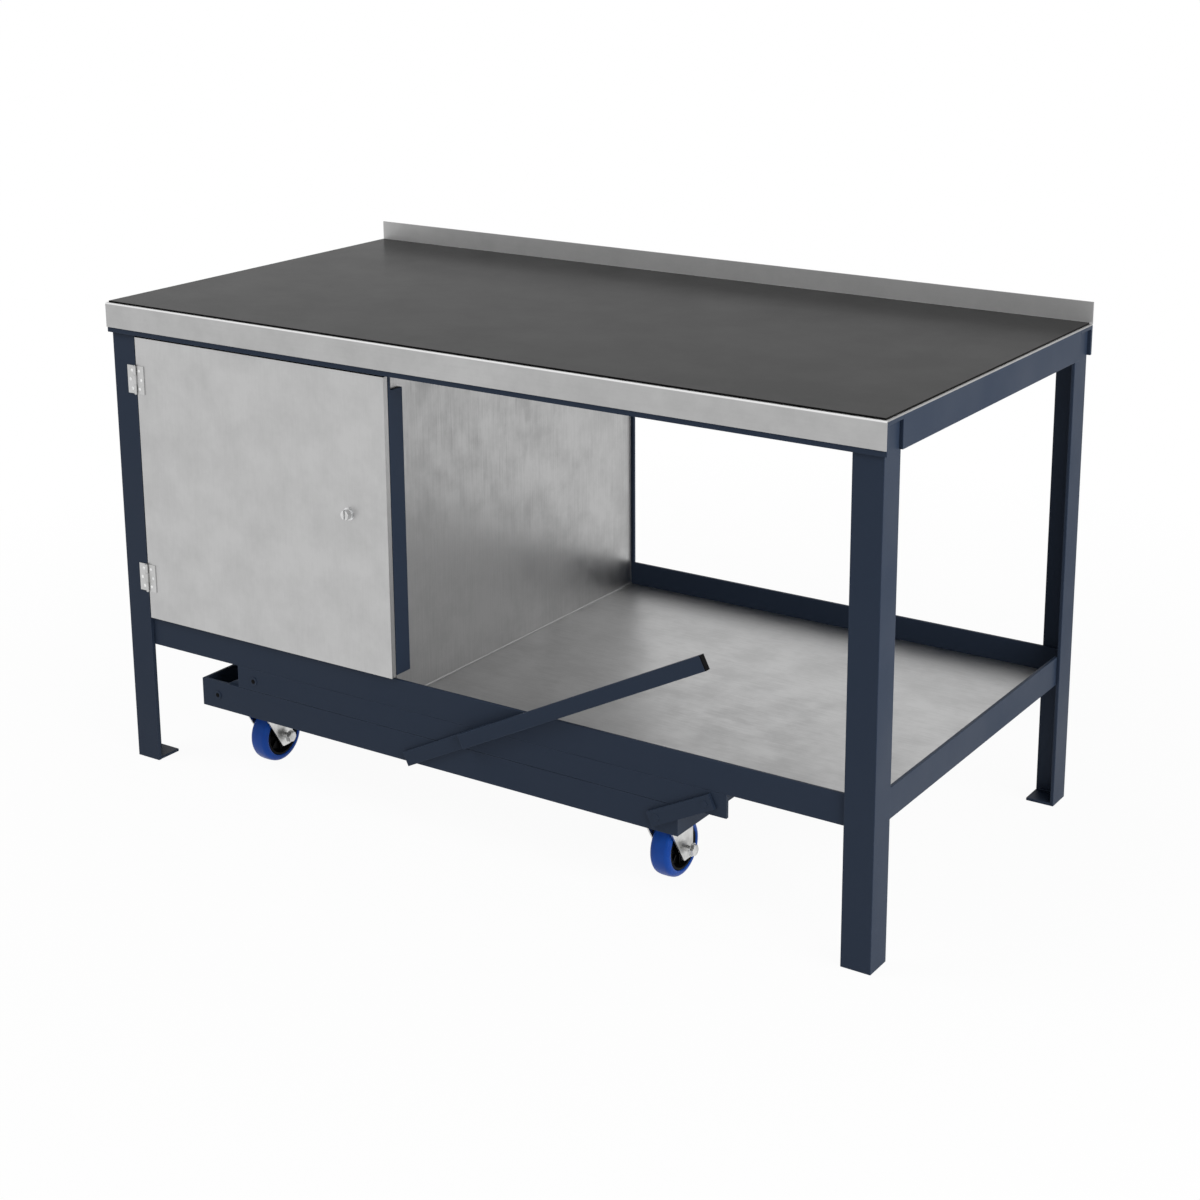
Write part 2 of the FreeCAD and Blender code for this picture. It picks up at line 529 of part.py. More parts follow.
# Lever: a longer link with a tube arm on its front and a plastic end cap
link("lever_link", "lever_pivot", "arm_back", "seat_front", "seat_front", "plate_back", "+", NUT,
     "lever_tail", "lever_overlap", False)
tube = box("arm_front", "arm_back", "- link_half", "link_half")
bore = box("arm_front + arm_wall", "arm_back - arm_wall", "arm_wall - link_half", "link_half - arm_wall")
tilt(bar("lever_arm", "X", "- arm_start", "arm_reach", [tube, bore]), "lever_pivot")
cap = bar("lever_cap", "X", "arm_reach", "arm_reach + cap_flange", [tube])
add(cap, "X", "arm_reach - cap_plug", "arm_reach", [box(
    "arm_front + arm_wall + cap_clearance", "arm_back - arm_wall - cap_clearance",
    "arm_wall + cap_clearance - link_half", "link_half - arm_wall - cap_clearance")])
tilt(cap, "lever_pivot")

# Castor plates with race and kingpin, and their bolts
plates = new_body("castor_plates")
centres = [(x, y) for _, x, y in CASTORS]
bolts = [place_xy for x, y in centres for place_xy in bolt_places(x, y)]
add(plates, "Z", "castor_plate_bottom", "tie_bottom", [box(
    f"{x} - plate_half_wide", f"{x} + plate_half_wide", f"{y} - plate_half_long", f"{y} + plate_half_long")
    for x, y in centres])
cut(plates, "Z", "castor_plate_bottom", "tie_bottom", circles=[(x, y, "bolt_hole") for x, y in bolts])
add(plates, "Z", "race_bottom", "castor_plate_bottom", circles=[(x, y, "race_diameter") for x, y in centres])
add(plates, "Z", "kingpin_head_top", "race_bottom", circles=[(x, y, "kingpin_diameter") for x, y in centres])
add(plates, "Z", "kingpin_head_low", "kingpin_head_top",
    circles=[(x, y, "kingpin_head_diameter") for x, y in centres])
bolt_group = bar("castor_bolts", "Z", "web_top", "web_top + bolt_head_height",
                 [hexagon(x, y, "bolt") for x, y in bolts])
add(bolt_group, "Z", "castor_plate_bottom", "web_top", circles=[(x, y, "bolt_diameter") for x, y in bolts])
add(bolt_group, "Z", "castor_plate_bottom - bolt_head_height", "castor_plate_bottom",
    [hexagon(x, y, "bolt") for x, y in bolts])

# Swivelling forks, axles, hubs and tyres
def fork_corner(edge):
    """Test for the fork's straight edges across the wheel, below its crown."""
    ends = [v.Point for v in edge.Vertexes]
    low = all(p.z < value("crown_bottom") - 1 for p in ends)
    return low and abs(ends[0].x - ends[-1].x) > 1


def crown_edge(edge):
    """Test for the two long edges of the fork's crown, where its sheet is bent down."""
    ends = [v.Point for v in edge.Vertexes]
    level = all(abs(p.z - value("crown_top")) < 0.01 for p in ends)
    return level and abs(ends[0].y - ends[-1].y) > 1


for name, x, y in CASTORS:
    fork = bar("castor_fork_" + name, "X", "- fork_half", "fork_half", [[
        ("- crown_front", "crown_top"), ("- crown_front", "crown_bottom"),
        ("trail - cheek_toe", "axle_z - cheek_drop"), ("trail + cheek_heel", "axle_z - cheek_drop"),
        ("trail + cheek_back", "axle_z"), ("trail + cheek_back", "crown_top")]])
    rounded(fork, "fork_corner", fork_corner)
    rounded(fork, "fork_bend", crown_edge)
    cut(fork, "Y", "- crown_front", "trail + cheek_back", [box(
        "- cheek_inner", "cheek_inner", "axle_z - cheek_drop", "crown_bottom")])
    add(fork, "Z", "crown_top", "dish_top", circles=[("0", "0", "dish_diameter")])
    cut(fork, "Z", "crown_bottom", "dish_top", circles=[("0", "0", "kingpin_hole")])
    cut(fork, "X", "- fork_half", "fork_half", circles=[("trail", "axle_z", "axle_hole")])
    place(fork, x, y)

    axle = bar("castor_axle_" + name, "X", "- fork_half", "fork_half + axle_head_height + axle_end",
               circles=[("trail", "axle_z", "axle_diameter")])
    nut = hexagon("trail", "axle_z", "axle")
    add(axle, "X", "fork_half", "fork_half + axle_head_height", [nut])
    add(axle, "X", "- fork_half - axle_head_height", "- fork_half", [nut])
    place(axle, x, y)

    half_hub = [("boss_half", "bore_radius"), ("boss_half", "boss_radius"), ("web_half", "boss_radius"),
                ("web_half", "rim_inner"), ("hub_half", "rim_inner"), ("hub_half", "hub_radius")]
    hub = spun("castor_hub_" + name, half_hub + mirrored(half_hub))
    place(hub, x, f"{y} + trail", "axle_z")

    half_tyre = [("tyre_half", "hub_radius"), ("tyre_half", "wheel_radius - tyre_shoulder"),
                 ("tyre_half - shoulder_cut", "wheel_radius - shoulder_cut"),
                 ("tyre_half - tyre_shoulder", "wheel_radius")]
    tyre = spun("castor_tyre_" + name, half_tyre + mirrored(half_tyre))
    place(tyre, x, f"{y} + trail", "axle_z")

doc.recompute()

# Every object must be sound before anything is written
for item in doc.Objects:
    if "Invalid" in item.State or "Error" in item.State:
        raise RuntimeError(f"{item.Label} did not build: {item.State}")
os.makedirs("parts", exist_ok=True)
for body in doc.findObjects("PartDesign::Body"):
    if body.Shape.isNull() or not body.Shape.isValid():
        raise RuntimeError(f"{body.Label} has no sound shape")
    body.Shape.exportStep(f"parts/{body.Label}.step")
print(len(doc.findObjects("PartDesign::Body")), "parts written")
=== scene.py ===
"""Looks of the mobile workbench: finishes, softened edges, turned wheels, fasteners, welds and the studio."""
import json
import math

import bmesh
import bpy
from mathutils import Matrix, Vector


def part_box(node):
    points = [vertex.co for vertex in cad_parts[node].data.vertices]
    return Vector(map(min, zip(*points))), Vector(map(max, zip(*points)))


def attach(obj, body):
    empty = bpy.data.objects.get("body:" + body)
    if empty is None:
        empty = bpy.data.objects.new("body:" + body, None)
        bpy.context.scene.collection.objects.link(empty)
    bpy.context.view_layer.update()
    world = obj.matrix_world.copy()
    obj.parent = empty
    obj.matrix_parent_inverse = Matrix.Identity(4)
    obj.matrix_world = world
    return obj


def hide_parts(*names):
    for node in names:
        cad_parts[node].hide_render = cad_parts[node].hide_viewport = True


bl_info = {
    "name": "Mobile workbench looks",
    "version": (1, 0, 0),
    "blender": (4, 5, 0),
    "location": "View3D > Sidebar > Workbench",
    "description": "Dresses the packed workbench: coatings, sheet steel, castors, fasteners, welds, studio",
    "category": "Object",
}

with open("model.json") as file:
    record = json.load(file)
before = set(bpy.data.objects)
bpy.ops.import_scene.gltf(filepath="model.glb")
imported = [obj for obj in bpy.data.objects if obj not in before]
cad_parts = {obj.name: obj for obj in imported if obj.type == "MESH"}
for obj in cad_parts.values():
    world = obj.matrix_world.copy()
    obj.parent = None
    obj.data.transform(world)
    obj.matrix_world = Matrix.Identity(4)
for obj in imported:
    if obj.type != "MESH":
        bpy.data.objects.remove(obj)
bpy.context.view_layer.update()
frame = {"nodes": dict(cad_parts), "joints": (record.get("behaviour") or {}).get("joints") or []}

MM = 0.001
CORNERS = ("front_left", "front_right", "rear_left", "rear_right")
SIDES = ("front", "rear", "left", "right")
PIVOTS = {joint["name"]: Vector(joint["pos_m"]) for joint in frame["joints"]}
COATED_BARS = (
    ["top_rail_" + side for side in SIDES] + ["shelf_rail_" + side for side in SIDES]
    + ["leg_" + corner for corner in CORNERS] + ["link_" + corner for corner in CORNERS]
    + ["foot_plates", "door_jamb", "rear_post", "apron_front", "apron_rear", "lever_link", "lever_arm",
       "tie_front", "tie_rear", "channel_left", "channel_right"])
CUPBOARD_SHEETS = ("cupboard_divider", "cupboard_side", "cupboard_back")

# Corners of turned sections, in millimetres outwards and along the axis from where corners() is told to start.
KNOB_DIMPLE = ((0.2, 0.5),)
KNOB_FRONT = ((-2.6, 0.3), (-2.0, 0.0), (-1.4, 0.0), (-0.5, 0.4), (0.0, 1.4))
KNOB_GROOVE = ((0.0, -3.2), (-0.7, -2.8), (-0.7, -1.8), (0.0, -1.4), (0.0, -0.4), (-0.4, 0.0))
SPINDLE_TIP = ((0.0, -0.5), (-0.5, 0.0))
PLUG_DOME = ((4.0, 0.0), (3.8, 0.25), (3.0, 0.4))
STUD_TIP = ((5.9, 0.0), (5.9, 0.3), (5.3, 0.8))
TYRE_LIP = ((0.8, -0.2), (0.0, -1.0))
HUB_BOSS = ((-1.5, 0.0), (0.0, -1.5))
HUB_FILLET = ((1.0, 2.0), (3.0, 0.0))
HUB_DISH = ((-9.0, 0.0), (-7.4, 1.6))
HUB_RIM = ((-5.0, -1.0), (-4.0, 0.0), (-1.0, 0.0), (0.0, -1.0))
WASHER_EDGE = ((11.0, -1.4), (11.0, -0.3), (10.6, 0.0))

# Small details that follow the way the pieces are made, in metres, degrees and counts.
SCREW_DOME_ANGLES = (88, 70, 52, 36, 22, 10, 0)
SCREW_SLOT = (3.2 * MM, 1.2 * MM, 0.8 * MM)
SCREW_THREAD = 0.8 * MM
BOLT_THREAD = 1.25 * MM
BOLT_PAST_NUT = 1.2 * MM
AXLE_THREAD = 1.5 * MM
WASHER = 1.4 * MM
NUT_PAST_STUD = 0.1 * MM
TYRE_CROWN = 0.5 * MM
TYRE_FLAT = 0.3
HUB_CLEARANCE = 0.08 * MM
RIB_COUNT = 8
RIB_PLACE = 0.98
RIB_RISE = 2 * MM
RIB_ROOM = 6 * MM
RIB_DEPTH = 5 * MM
RIB_THICKNESS = 2.4 * MM
POOL_STEP = 1.25 * MM
APRON_WELDS = (-2, -1, 0, 1, 2)
APRON_WELD_PITCH = 0.21
APRON_WELD_HALF = 0.03
CHANNEL_WEB = 5 * MM
CHANNEL_WELD_MARGIN = 8 * MM


# ---------------------------------------------------------------- settings

def length(name, description, millimetres):
    """A size that the user may change."""
    return bpy.props.FloatProperty(name=name, description=description, default=millimetres * MM,
                                   min=0.0, precision=5, unit="LENGTH")


def linear(code):
    """sRGB hex to linear red, green, blue and alpha."""
    parts = [int(code[i:i + 2], 16) / 255 for i in (1, 3, 5)]
    return [c / 12.92 if c <= 0.04045 else ((c + 0.055) / 1.055) ** 2.4 for c in parts] + [1.0]


def colour(name, description, code):
    """A colour that the user may change."""
    return bpy.props.FloatVectorProperty(name=name, description=description, default=linear(code),
                                         size=4, min=0.0, max=1.0, subtype="COLOR")


def power(name, description, watts):
    """A lamp's power that the user may change."""
    return bpy.props.FloatProperty(name=name, description=description, default=watts, min=0.0, unit="POWER")


class WorkbenchColours(bpy.types.PropertyGroup):
    navy: colour("Powder coat", "Navy of the coated bars", "#283242")
    # Paler navy painted along the bars' edges as a highlight.
    navy_highlight: colour("Thin coat", "Paler coat where it is thin over an edge", "#495364")
    sheet: colour("Sheet steel", "Bare sheet of door, cupboard and shelf", "#C1C1C1")
    sheet_cloud: colour("Sheet clouds", "Duller clouds in the bare sheet", "#B8B8B8")
    upright_cloud: colour("Upright streaks", "Duller streaks in the cupboard's sheets", "#B0B0B0")
    bend: colour("Sheet bend", "Burnished bend at the divider's foot", "#A8A8A8")
    worktop: colour("Worktop steel", "Brushed sheet of the worktop", "#BEBEBE")
    worktop_cloud: colour("Worktop clouds", "Duller worktop steel", "#B8B8B8")
    # Painted highlight on the worktop's front bend, standing in for the lamps mirrored there.
    worktop_bend_highlight: colour("Worktop edge", "Steel rubbed bright over the worktop's front bend", "#ECECEC")
    mat: colour("Mat", "Rubber mat on the worktop", "#3C3C3C")
    mat_scuff: colour("Mat scuffs", "Paler rubbed places on the mat", "#404040")
    # Painted shade on the mat's sideways faces.
    mat_edge_shade: colour("Mat edge", "Dark cut edge of the mat", "#141414")
    hinge: colour("Hinge steel", "Bright steel of the hinge leaves", "#C6C6C6")
    screw: colour("Screws", "Nickel plate of the hinge screws", "#F2F2F1")
    chrome: colour("Chrome", "Plated lock", "#DFE0E1")
    zinc: colour("Zinc plate", "Castor forks, bolts and axles", "#D6D6D5")
    zinc_cloud: colour("Zinc clouds", "Duller zinc", "#BFBFBE")
    # The pivot plugs' black is painted shade for the studs' sockets; hubs and lever cap are black nylon.
    nylon: colour("Black nylon", "Wheel centres, lever plug and pivot plugs", "#060607")
    tyre: colour("Tyre", "Blue rubber tyre", "#09449E")
    tyre_dust: colour("Tyre dust", "Dusty blue rubber", "#134CA6")


class WorkbenchSizes(bpy.types.PropertyGroup):
    bar_edge: length("Bar edge", "Softened edge of the coated bars", 0.9)
    sheet_edge: length("Sheet edge", "Softened edge of the bare sheets", 0.4)
    tyre_shoulder: length("Tyre shoulder", "Rounding of the tyre's two shoulders", 9.0)
    hub_web: length("Hub web", "Half the thickness of the wheel centre's web", 6.0)
    hub_boss: length("Hub boss", "Radius of the wheel centre's boss", 13.0)
    screw_head: length("Screw head", "Diameter of a hinge screw's head", 6.0)
    screw_dome: length("Screw dome", "Height of a hinge screw's head", 1.1)
    screw_shank: length("Screw shank", "Diameter of a hinge screw", 3.6)
    screw_length: length("Screw length", "Hinge screw below its head", 5.0)
    screw_pitch: length("Screw pitch", "From a hinge's middle to its end screws", 16.0)
    screw_inner: length("Inner screws", "From the hinge pin to the end screws", 8.0)
    screw_outer: length("Outer screw", "From the hinge pin to the middle screw", 12.5)
    knob: length("Knob", "Diameter of the lock's knob", 17.0)
    knob_depth: length("Knob depth", "Knob in front of its flange", 11.0)
    spindle: length("Spindle", "Diameter of the lock's spindle", 8.0)
    slot_width: length("Slot width", "Slot across the knob", 3.0)
    slot_depth: length("Slot depth", "Depth of the knob's slot", 4.0)
    link_nut: length("Link nut", "Links' nuts across the flats", 20.4)
    link_nut_height: length("Link nut height", "Height of the links' nuts", 6.1)
    axle_nut: length("Axle nut", "Axle nut across the flats", 17.0)
    axle_nut_height: length("Axle nut height", "Height of the axle's nut and head", 6.5)
    axle: length("Axle", "Diameter of the axle", 10.0)
    bolt_nut: length("Bolt nut", "Castor bolts' heads and nuts across the flats", 13.0)
    bolt_nut_height: length("Bolt nut height", "Height of the castor bolts' heads and nuts", 5.5)
    bolt: length("Bolt", "Diameter of the castor bolts", 8.0)
    bolts_across: length("Bolts across", "Castor bolts' spacing along the bench", 60.0)
    bolts_along: length("Bolts along", "Castor bolts' spacing across the bench", 80.0)
    bar: length("Bar thickness", "Thickness of the angle bars", 6.0)
    weld: length("Weld", "Thickness of a weld bead", 5.0)
    bend: length("Bend", "Width of the burnished bend at the divider's foot", 3.0)


class WorkbenchStudio(bpy.types.PropertyGroup):
    lens: bpy.props.FloatProperty(name="Lens", description="Focal length of the camera",
                                  default=64.705, unit="CAMERA")
    shift: bpy.props.FloatVectorProperty(name="Shift", description="Framing of the photograph", size=2,
                                         default=(-0.0421, -0.16))
    place: bpy.props.FloatVectorProperty(name="Place", description="Where the camera stands", size=3,
                                         default=(2.0117, -2.9361, 1.5839),
                                         subtype="TRANSLATION", unit="LENGTH")
    turn: bpy.props.FloatProperty(name="Turn", description="Camera's turn to the right of the front",
                                  default=math.radians(32.683), subtype="ANGLE")
    tilt: bpy.props.FloatProperty(name="Tilt", description="Camera's look downwards",
                                  default=math.radians(14.329), subtype="ANGLE")
    room_light: bpy.props.FloatProperty(name="Room light", description="Even light from all sides",
                                        default=0.26)
    key_power: power("Key lamp", "Large soft lamp on the right", 175.0)
    front_power: power("Front lamp", "Soft lamp high up at the front left", 70.0)


# ---------------------------------------------------------------- materials

def add(material, kind, settings=(), links=()):
    """Adds a node.

    Settings name its attributes or sockets, links name the sockets that other nodes' outputs feed.
    """
    tree = material.node_tree
    made = tree.nodes.new(kind)
    for key, content in dict(settings).items():
        if isinstance(key, str) and hasattr(made, key):
            setattr(made, key, content)
        else:
            made.inputs[key].default_value = content
    for key, (other, output) in dict(links).items():
        tree.links.new(other.outputs[output], made.inputs[key])
    return made


def per_metre(millimetres):
    """Scale of a pattern whose features are this far apart."""
    return 1.0 / (millimetres * MM)


def finish_shader(material, settings, tone, rough, height, strength, distance):
    """Closes a finish: its shader with the mixed colour, the roughness and the relief of the given nodes."""
    bump = add(material, "ShaderNodeBump", {"Strength": strength, "Distance": distance * MM},
               {"Height": height})
    shader = add(material, "ShaderNodeBsdfPrincipled", settings,
                 {"Base Color": (tone, 2), "Roughness": (rough, "Result"), "Normal": (bump, "Normal")})
    add(material, "ShaderNodeOutputMaterial", {}, {"Surface": (shader, "BSDF")})


def powder_coat(material, colours):
    """Polyester powder baked on steel bar: satin, a fine orange peel, with a paler painted highlight over
    edges.
    """
    place = add(material, "ShaderNodeTexCoord")
    # Orange peel is about 1.5 mm apart; drawn at 5 mm so that it shows at this distance.
    peel = add(material, "ShaderNodeTexNoise", {"Scale": per_metre(5), "Detail": 2.0},
               {"Vector": (place, "Object")})
    # The film's thickness drifts over about 140 mm.
    drift = add(material, "ShaderNodeTexNoise", {"Scale": per_metre(140), "Detail": 3.0},
                {"Vector": (place, "Object")})
    # Painted highlight: edges, where a normal rounded over 2.5 mm leaves the face's own normal, get a paler
    # navy.
    rounded = add(material, "ShaderNodeBevel", {"samples": 4, "Radius": 2.5 * MM})
    flat = add(material, "ShaderNodeNewGeometry")
    edge = add(material, "ShaderNodeVectorMath", {"operation": "DOT_PRODUCT"},
               {0: (rounded, "Normal"), 1: (flat, "Normal")})
    highlit = add(material, "ShaderNodeMapRange", {"From Min": 0.985, "From Max": 0.8, "To Max": 0.55},
               {"Value": (edge, "Value")})
    broken = add(material, "ShaderNodeMapRange", {"From Min": 0.35, "From Max": 0.65},
                 {"Value": (drift, "Fac")})
    amount = add(material, "ShaderNodeMath", {"operation": "MULTIPLY"},
                 {0: (highlit, "Result"), 1: (broken, "Result")})
    tone = add(material, "ShaderNodeMix", {"data_type": "RGBA", 6: colours.navy, 7: colours.navy_highlight},
               {"Factor": (amount, "Value")})
    rough = add(material, "ShaderNodeMapRange",
                {"From Min": 0.3, "From Max": 0.7, "To Min": 0.4, "To Max": 0.54}, {"Value": (drift, "Fac")})
    finish_shader(material, {"Specular IOR Level": 0.1}, tone, rough, (peel, "Fac"),
                  strength=0.12, distance=0.2)


def painted_bend_highlight(material, place, tone, highlight_tone):
    """The tone with a painted highlight on the front bend, where the lamps would mirror."""
    # On the bend the surface faces both up and forwards; the rear bend, behind the middle, gets no painted
    # highlight.
    facing = add(material, "ShaderNodeSeparateXYZ", {}, {"Vector": (place, "Normal")})
    spot = add(material, "ShaderNodeSeparateXYZ", {}, {"Vector": (place, "Object")})
    slope = add(material, "ShaderNodeMath", {"operation": "MULTIPLY"},
                {0: (facing, "Y"), 1: (facing, "Z")})
    bent = add(material, "ShaderNodeMapRange", {"From Min": -0.12, "From Max": -0.35},
               {"Value": (slope, "Value")})
    ahead = add(material, "ShaderNodeMath", {"operation": "LESS_THAN", 1: 0.0}, {0: (spot, "Y")})
    amount = add(material, "ShaderNodeMath", {"operation": "MULTIPLY"},
                 {0: (bent, "Result"), 1: (ahead, "Value")})
    return add(material, "ShaderNodeMix", {"data_type": "RGBA", 7: highlight_tone},
               {"Factor": (amount, "Value"), 6: (tone, 2)})


def rolled_sheet(material, base, cloud, stretch, lining, rough_low, rough_high, highlight_tone=None):
    """Cold-rolled sheet, bare and lightly oiled: rolling lines one way, faint clouds, blurred reflections."""
    place = add(material, "ShaderNodeTexCoord")
    # Clouds of oil and handling are about 70 mm apart.
    clouds = add(material, "ShaderNodeTexNoise", {"Scale": per_metre(70), "Detail": 6.0, "Roughness": 0.66},
                 {"Vector": (place, "Object")})
    lined = add(material, "ShaderNodeMapping", {"Scale": stretch}, {"Vector": (place, "Object")})
    # Rolling lines are finer than 0.5 mm; drawn 3 mm apart so that they show.
    lines = add(material, "ShaderNodeTexNoise", {"Scale": per_metre(3), "Detail": 3.0, "Roughness": 0.6},
                {"Vector": (lined, "Vector")})
    blotch = add(material, "ShaderNodeMapRange", {"From Min": 0.36, "From Max": 0.68},
                 {"Value": (clouds, "Fac")})
    streak = add(material, "ShaderNodeMapRange",
                 {"From Min": 0.3, "From Max": 0.7, "To Min": -lining, "To Max": lining},
                 {"Value": (lines, "Fac")})
    both = add(material, "ShaderNodeMath", {"operation": "ADD", "use_clamp": True},
               {0: (blotch, "Result"), 1: (streak, "Result")})
    tone = add(material, "ShaderNodeMix", {"data_type": "RGBA", 6: base, 7: cloud},
               {"Factor": (both, "Value")})
    # Painted highlight on the sheet's front bend.
    if highlight_tone:
        tone = painted_bend_highlight(material, place, tone, highlight_tone)
    rough = add(material, "ShaderNodeMapRange", {"To Min": rough_low, "To Max": rough_high},
                {"Value": (both, "Value")})
    finish_shader(material, {"Metallic": 1.0}, tone, rough, (lines, "Fac"),
                  strength=0.08, distance=0.1)


def rubber_sheet(material, colours):
    """Calendered rubber matting: satin, so that it dimly mirrors the upstand, faintly pebbled and scuffed."""
    place = add(material, "ShaderNodeTexCoord")
    # The calender's pebble is under 1 mm; drawn at 3 mm so that it shows.
    pebble = add(material, "ShaderNodeTexVoronoi", {"Scale": per_metre(3)}, {"Vector": (place, "Object")})
    # Rubbed places are about 120 mm apart.
    scuffs = add(material, "ShaderNodeTexNoise", {"Scale": per_metre(120), "Detail": 6.0, "Roughness": 0.65},
                 {"Vector": (place, "Object")})
    rubbed = add(material, "ShaderNodeMapRange", {"From Min": 0.4, "From Max": 0.7},
                 {"Value": (scuffs, "Fac")})
    tone = add(material, "ShaderNodeMix", {"data_type": "RGBA", 6: colours.mat, 7: colours.mat_scuff},
               {"Factor": (rubbed, "Result")})
    # Painted shade: the faces that face sideways, the mat's cut edges, are darker than the top.
    facing = add(material, "ShaderNodeSeparateXYZ", {}, {"Vector": (place, "Normal")})
    upward = add(material, "ShaderNodeMapRange", {"From Min": 0.5, "From Max": 0.9},
                 {"Value": (facing, "Z")})
    tone = add(material, "ShaderNodeMix", {"data_type": "RGBA", 6: colours.mat_edge_shade},
               {"Factor": (upward, "Result"), 7: (tone, 2)})
    rough = add(material, "ShaderNodeMapRange", {"To Min": 0.26, "To Max": 0.22},
                {"Value": (rubbed, "Result")})
    finish_shader(material, {"Specular IOR Level": 0.012}, tone, rough, (pebble, "Distance"),
                  strength=0.1, distance=0.2)


def plated_metal(material, base, dull, patch, rough_low, rough_high):
    """Electroplated pressed metal: bright, with slow patches where the bath left the plating duller."""
    place = add(material, "ShaderNodeTexCoord")
    patches = add(material, "ShaderNodeTexNoise", {"Scale": per_metre(patch), "Detail": 4.0},
                  {"Vector": (place, "Object")})
    # Marks of the press tool are about 2 mm apart.
    marks = add(material, "ShaderNodeTexNoise", {"Scale": per_metre(2), "Detail": 2.0},
                {"Vector": (place, "Object")})
    spread = add(material, "ShaderNodeMapRange", {"From Min": 0.38, "From Max": 0.66},
                 {"Value": (patches, "Fac")})
    tone = add(material, "ShaderNodeMix", {"data_type": "RGBA", 6: base, 7: dull},
               {"Factor": (spread, "Result")})
    rough = add(material, "ShaderNodeMapRange", {"To Min": rough_low, "To Max": rough_high},
                {"Value": (spread, "Result")})
    finish_shader(material, {"Metallic": 1.0}, tone, rough, (marks, "Fac"),
                  strength=0.05, distance=0.05)


def moulded(material, base, dusty, specular, rough_low, rough_high):
    """Injection-moulded nylon or rubber: even colour, a fine mould grain, a little dust."""
    place = add(material, "ShaderNodeTexCoord")
    # Dust gathers in patches about 18 mm apart; the mould's grain is 0.8 mm.
    dust = add(material, "ShaderNodeTexNoise", {"Scale": per_metre(18), "Detail": 5.0},
               {"Vector": (place, "Object")})
    grain = add(material, "ShaderNodeTexNoise", {"Scale": per_metre(0.8), "Detail": 2.0},
                {"Vector": (place, "Object")})
    spread = add(material, "ShaderNodeMapRange", {"From Min": 0.42, "From Max": 0.72},
                 {"Value": (dust, "Fac")})
    tone = add(material, "ShaderNodeMix", {"data_type": "RGBA", 6: base, 7: dusty},
               {"Factor": (spread, "Result")})
    rough = add(material, "ShaderNodeMapRange", {"To Min": rough_low, "To Max": rough_high},
                {"Value": (spread, "Result")})
    finish_shader(material, {"Specular IOR Level": specular}, tone, rough, (grain, "Fac"),
                  strength=0.08, distance=0.1)


FINISHES = {
    "satin_powder_coat": lambda m, c: powder_coat(m, c),
    "door_rolled_sheet": lambda m, c: rolled_sheet(
        m, c.sheet, c.sheet_cloud, stretch=(1, 1, 0.06), lining=0.15, rough_low=0.42, rough_high=0.46),
    "upright_rolled_sheet": lambda m, c: rolled_sheet(
        m, c.sheet_cloud, c.upright_cloud, stretch=(1, 1, 0.03), lining=0.4, rough_low=0.36, rough_high=0.5),
    "shelf_rolled_sheet": lambda m, c: rolled_sheet(
        m, c.sheet, c.sheet_cloud, stretch=(0.08, 1, 1), lining=0.4, rough_low=0.39, rough_high=0.46),
    # The worktop gets a painted highlight on its front bend.
    "worktop_rolled_sheet": lambda m, c: rolled_sheet(
        m, c.worktop, c.worktop_cloud, stretch=(0.03, 1, 1), lining=0.14, rough_low=0.57, rough_high=0.63,
        highlight_tone=c.worktop_bend_highlight),
    "burnished_bend": lambda m, c: rolled_sheet(
        m, c.bend, c.sheet_cloud, stretch=(1, 0.05, 1), lining=0.25, rough_low=0.5, rough_high=0.6),
    "calendered_rubber": lambda m, c: rubber_sheet(m, c),
    "bright_hinge_steel": lambda m, c: plated_metal(
        m, c.hinge, c.zinc_cloud, patch=30, rough_low=0.3, rough_high=0.36),
    "nickel_plated_steel": lambda m, c: plated_metal(
        m, c.screw, c.chrome, patch=8, rough_low=0.16, rough_high=0.24),
    "chromed_brass": lambda m, c: plated_metal(
        m, c.chrome, c.hinge, patch=8, rough_low=0.08, rough_high=0.16),
    "zinc_plated_steel": lambda m, c: plated_metal(
        m, c.zinc, c.zinc_cloud, patch=16, rough_low=0.3, rough_high=0.44),
    "moulded_nylon": lambda m, c: moulded(
        m, c.nylon, c.nylon, specular=0.05, rough_low=0.4, rough_high=0.5),
    "elastic_rubber": lambda m, c: moulded(
        m, c.tyre, c.tyre_dust, specular=0.2, rough_low=0.34, rough_high=0.46),
}


def finish_named(name):
    """The material of a finish, made when a piece first asks for it."""
    if name not in bpy.data.materials:
        material = bpy.data.materials.new(name)
        material.use_nodes = True
        material.node_tree.nodes.clear()
        FINISHES[name](material, bpy.context.scene.workbench_colours)
    return bpy.data.materials[name]


# ---------------------------------------------------------------- shaping

def dress(nodes, finish, edge=None):
    """Gives CAD nodes their finish and, where asked, softens their sharp edges; their meshes stay."""
    for name in nodes:
        node = frame["nodes"][name]
        for slot in node.material_slots:
            slot.link = "OBJECT"
            slot.material = finish_named(finish)
        if edge:
            joined = node.modifiers.new("joined corners", "WELD")
            joined.merge_threshold = 0.01 * MM
            whole = node.modifiers.new("whole faces", "DECIMATE")
            whole.decimate_type = "DISSOLVE"
            whole.angle_limit = math.radians(0.5)
            soft = node.modifiers.new("softened edges", "BEVEL")
            soft.width = edge
            soft.segments = 2
            soft.limit_method = "ANGLE"
            soft.angle_limit = math.radians(35)
            node.modifiers.new("even shading", "WEIGHTED_NORMAL")


def new_piece(name, mesh, finish, body, replaces=()):
    """Links a mesh as a piece that rides on a body and may stand for CAD nodes."""
    mesh.materials.append(finish_named(finish))
    piece = bpy.data.objects.new(name, mesh)
    bpy.context.scene.collection.objects.link(piece)
    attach(piece, body)
    if replaces:
        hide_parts(*replaces)


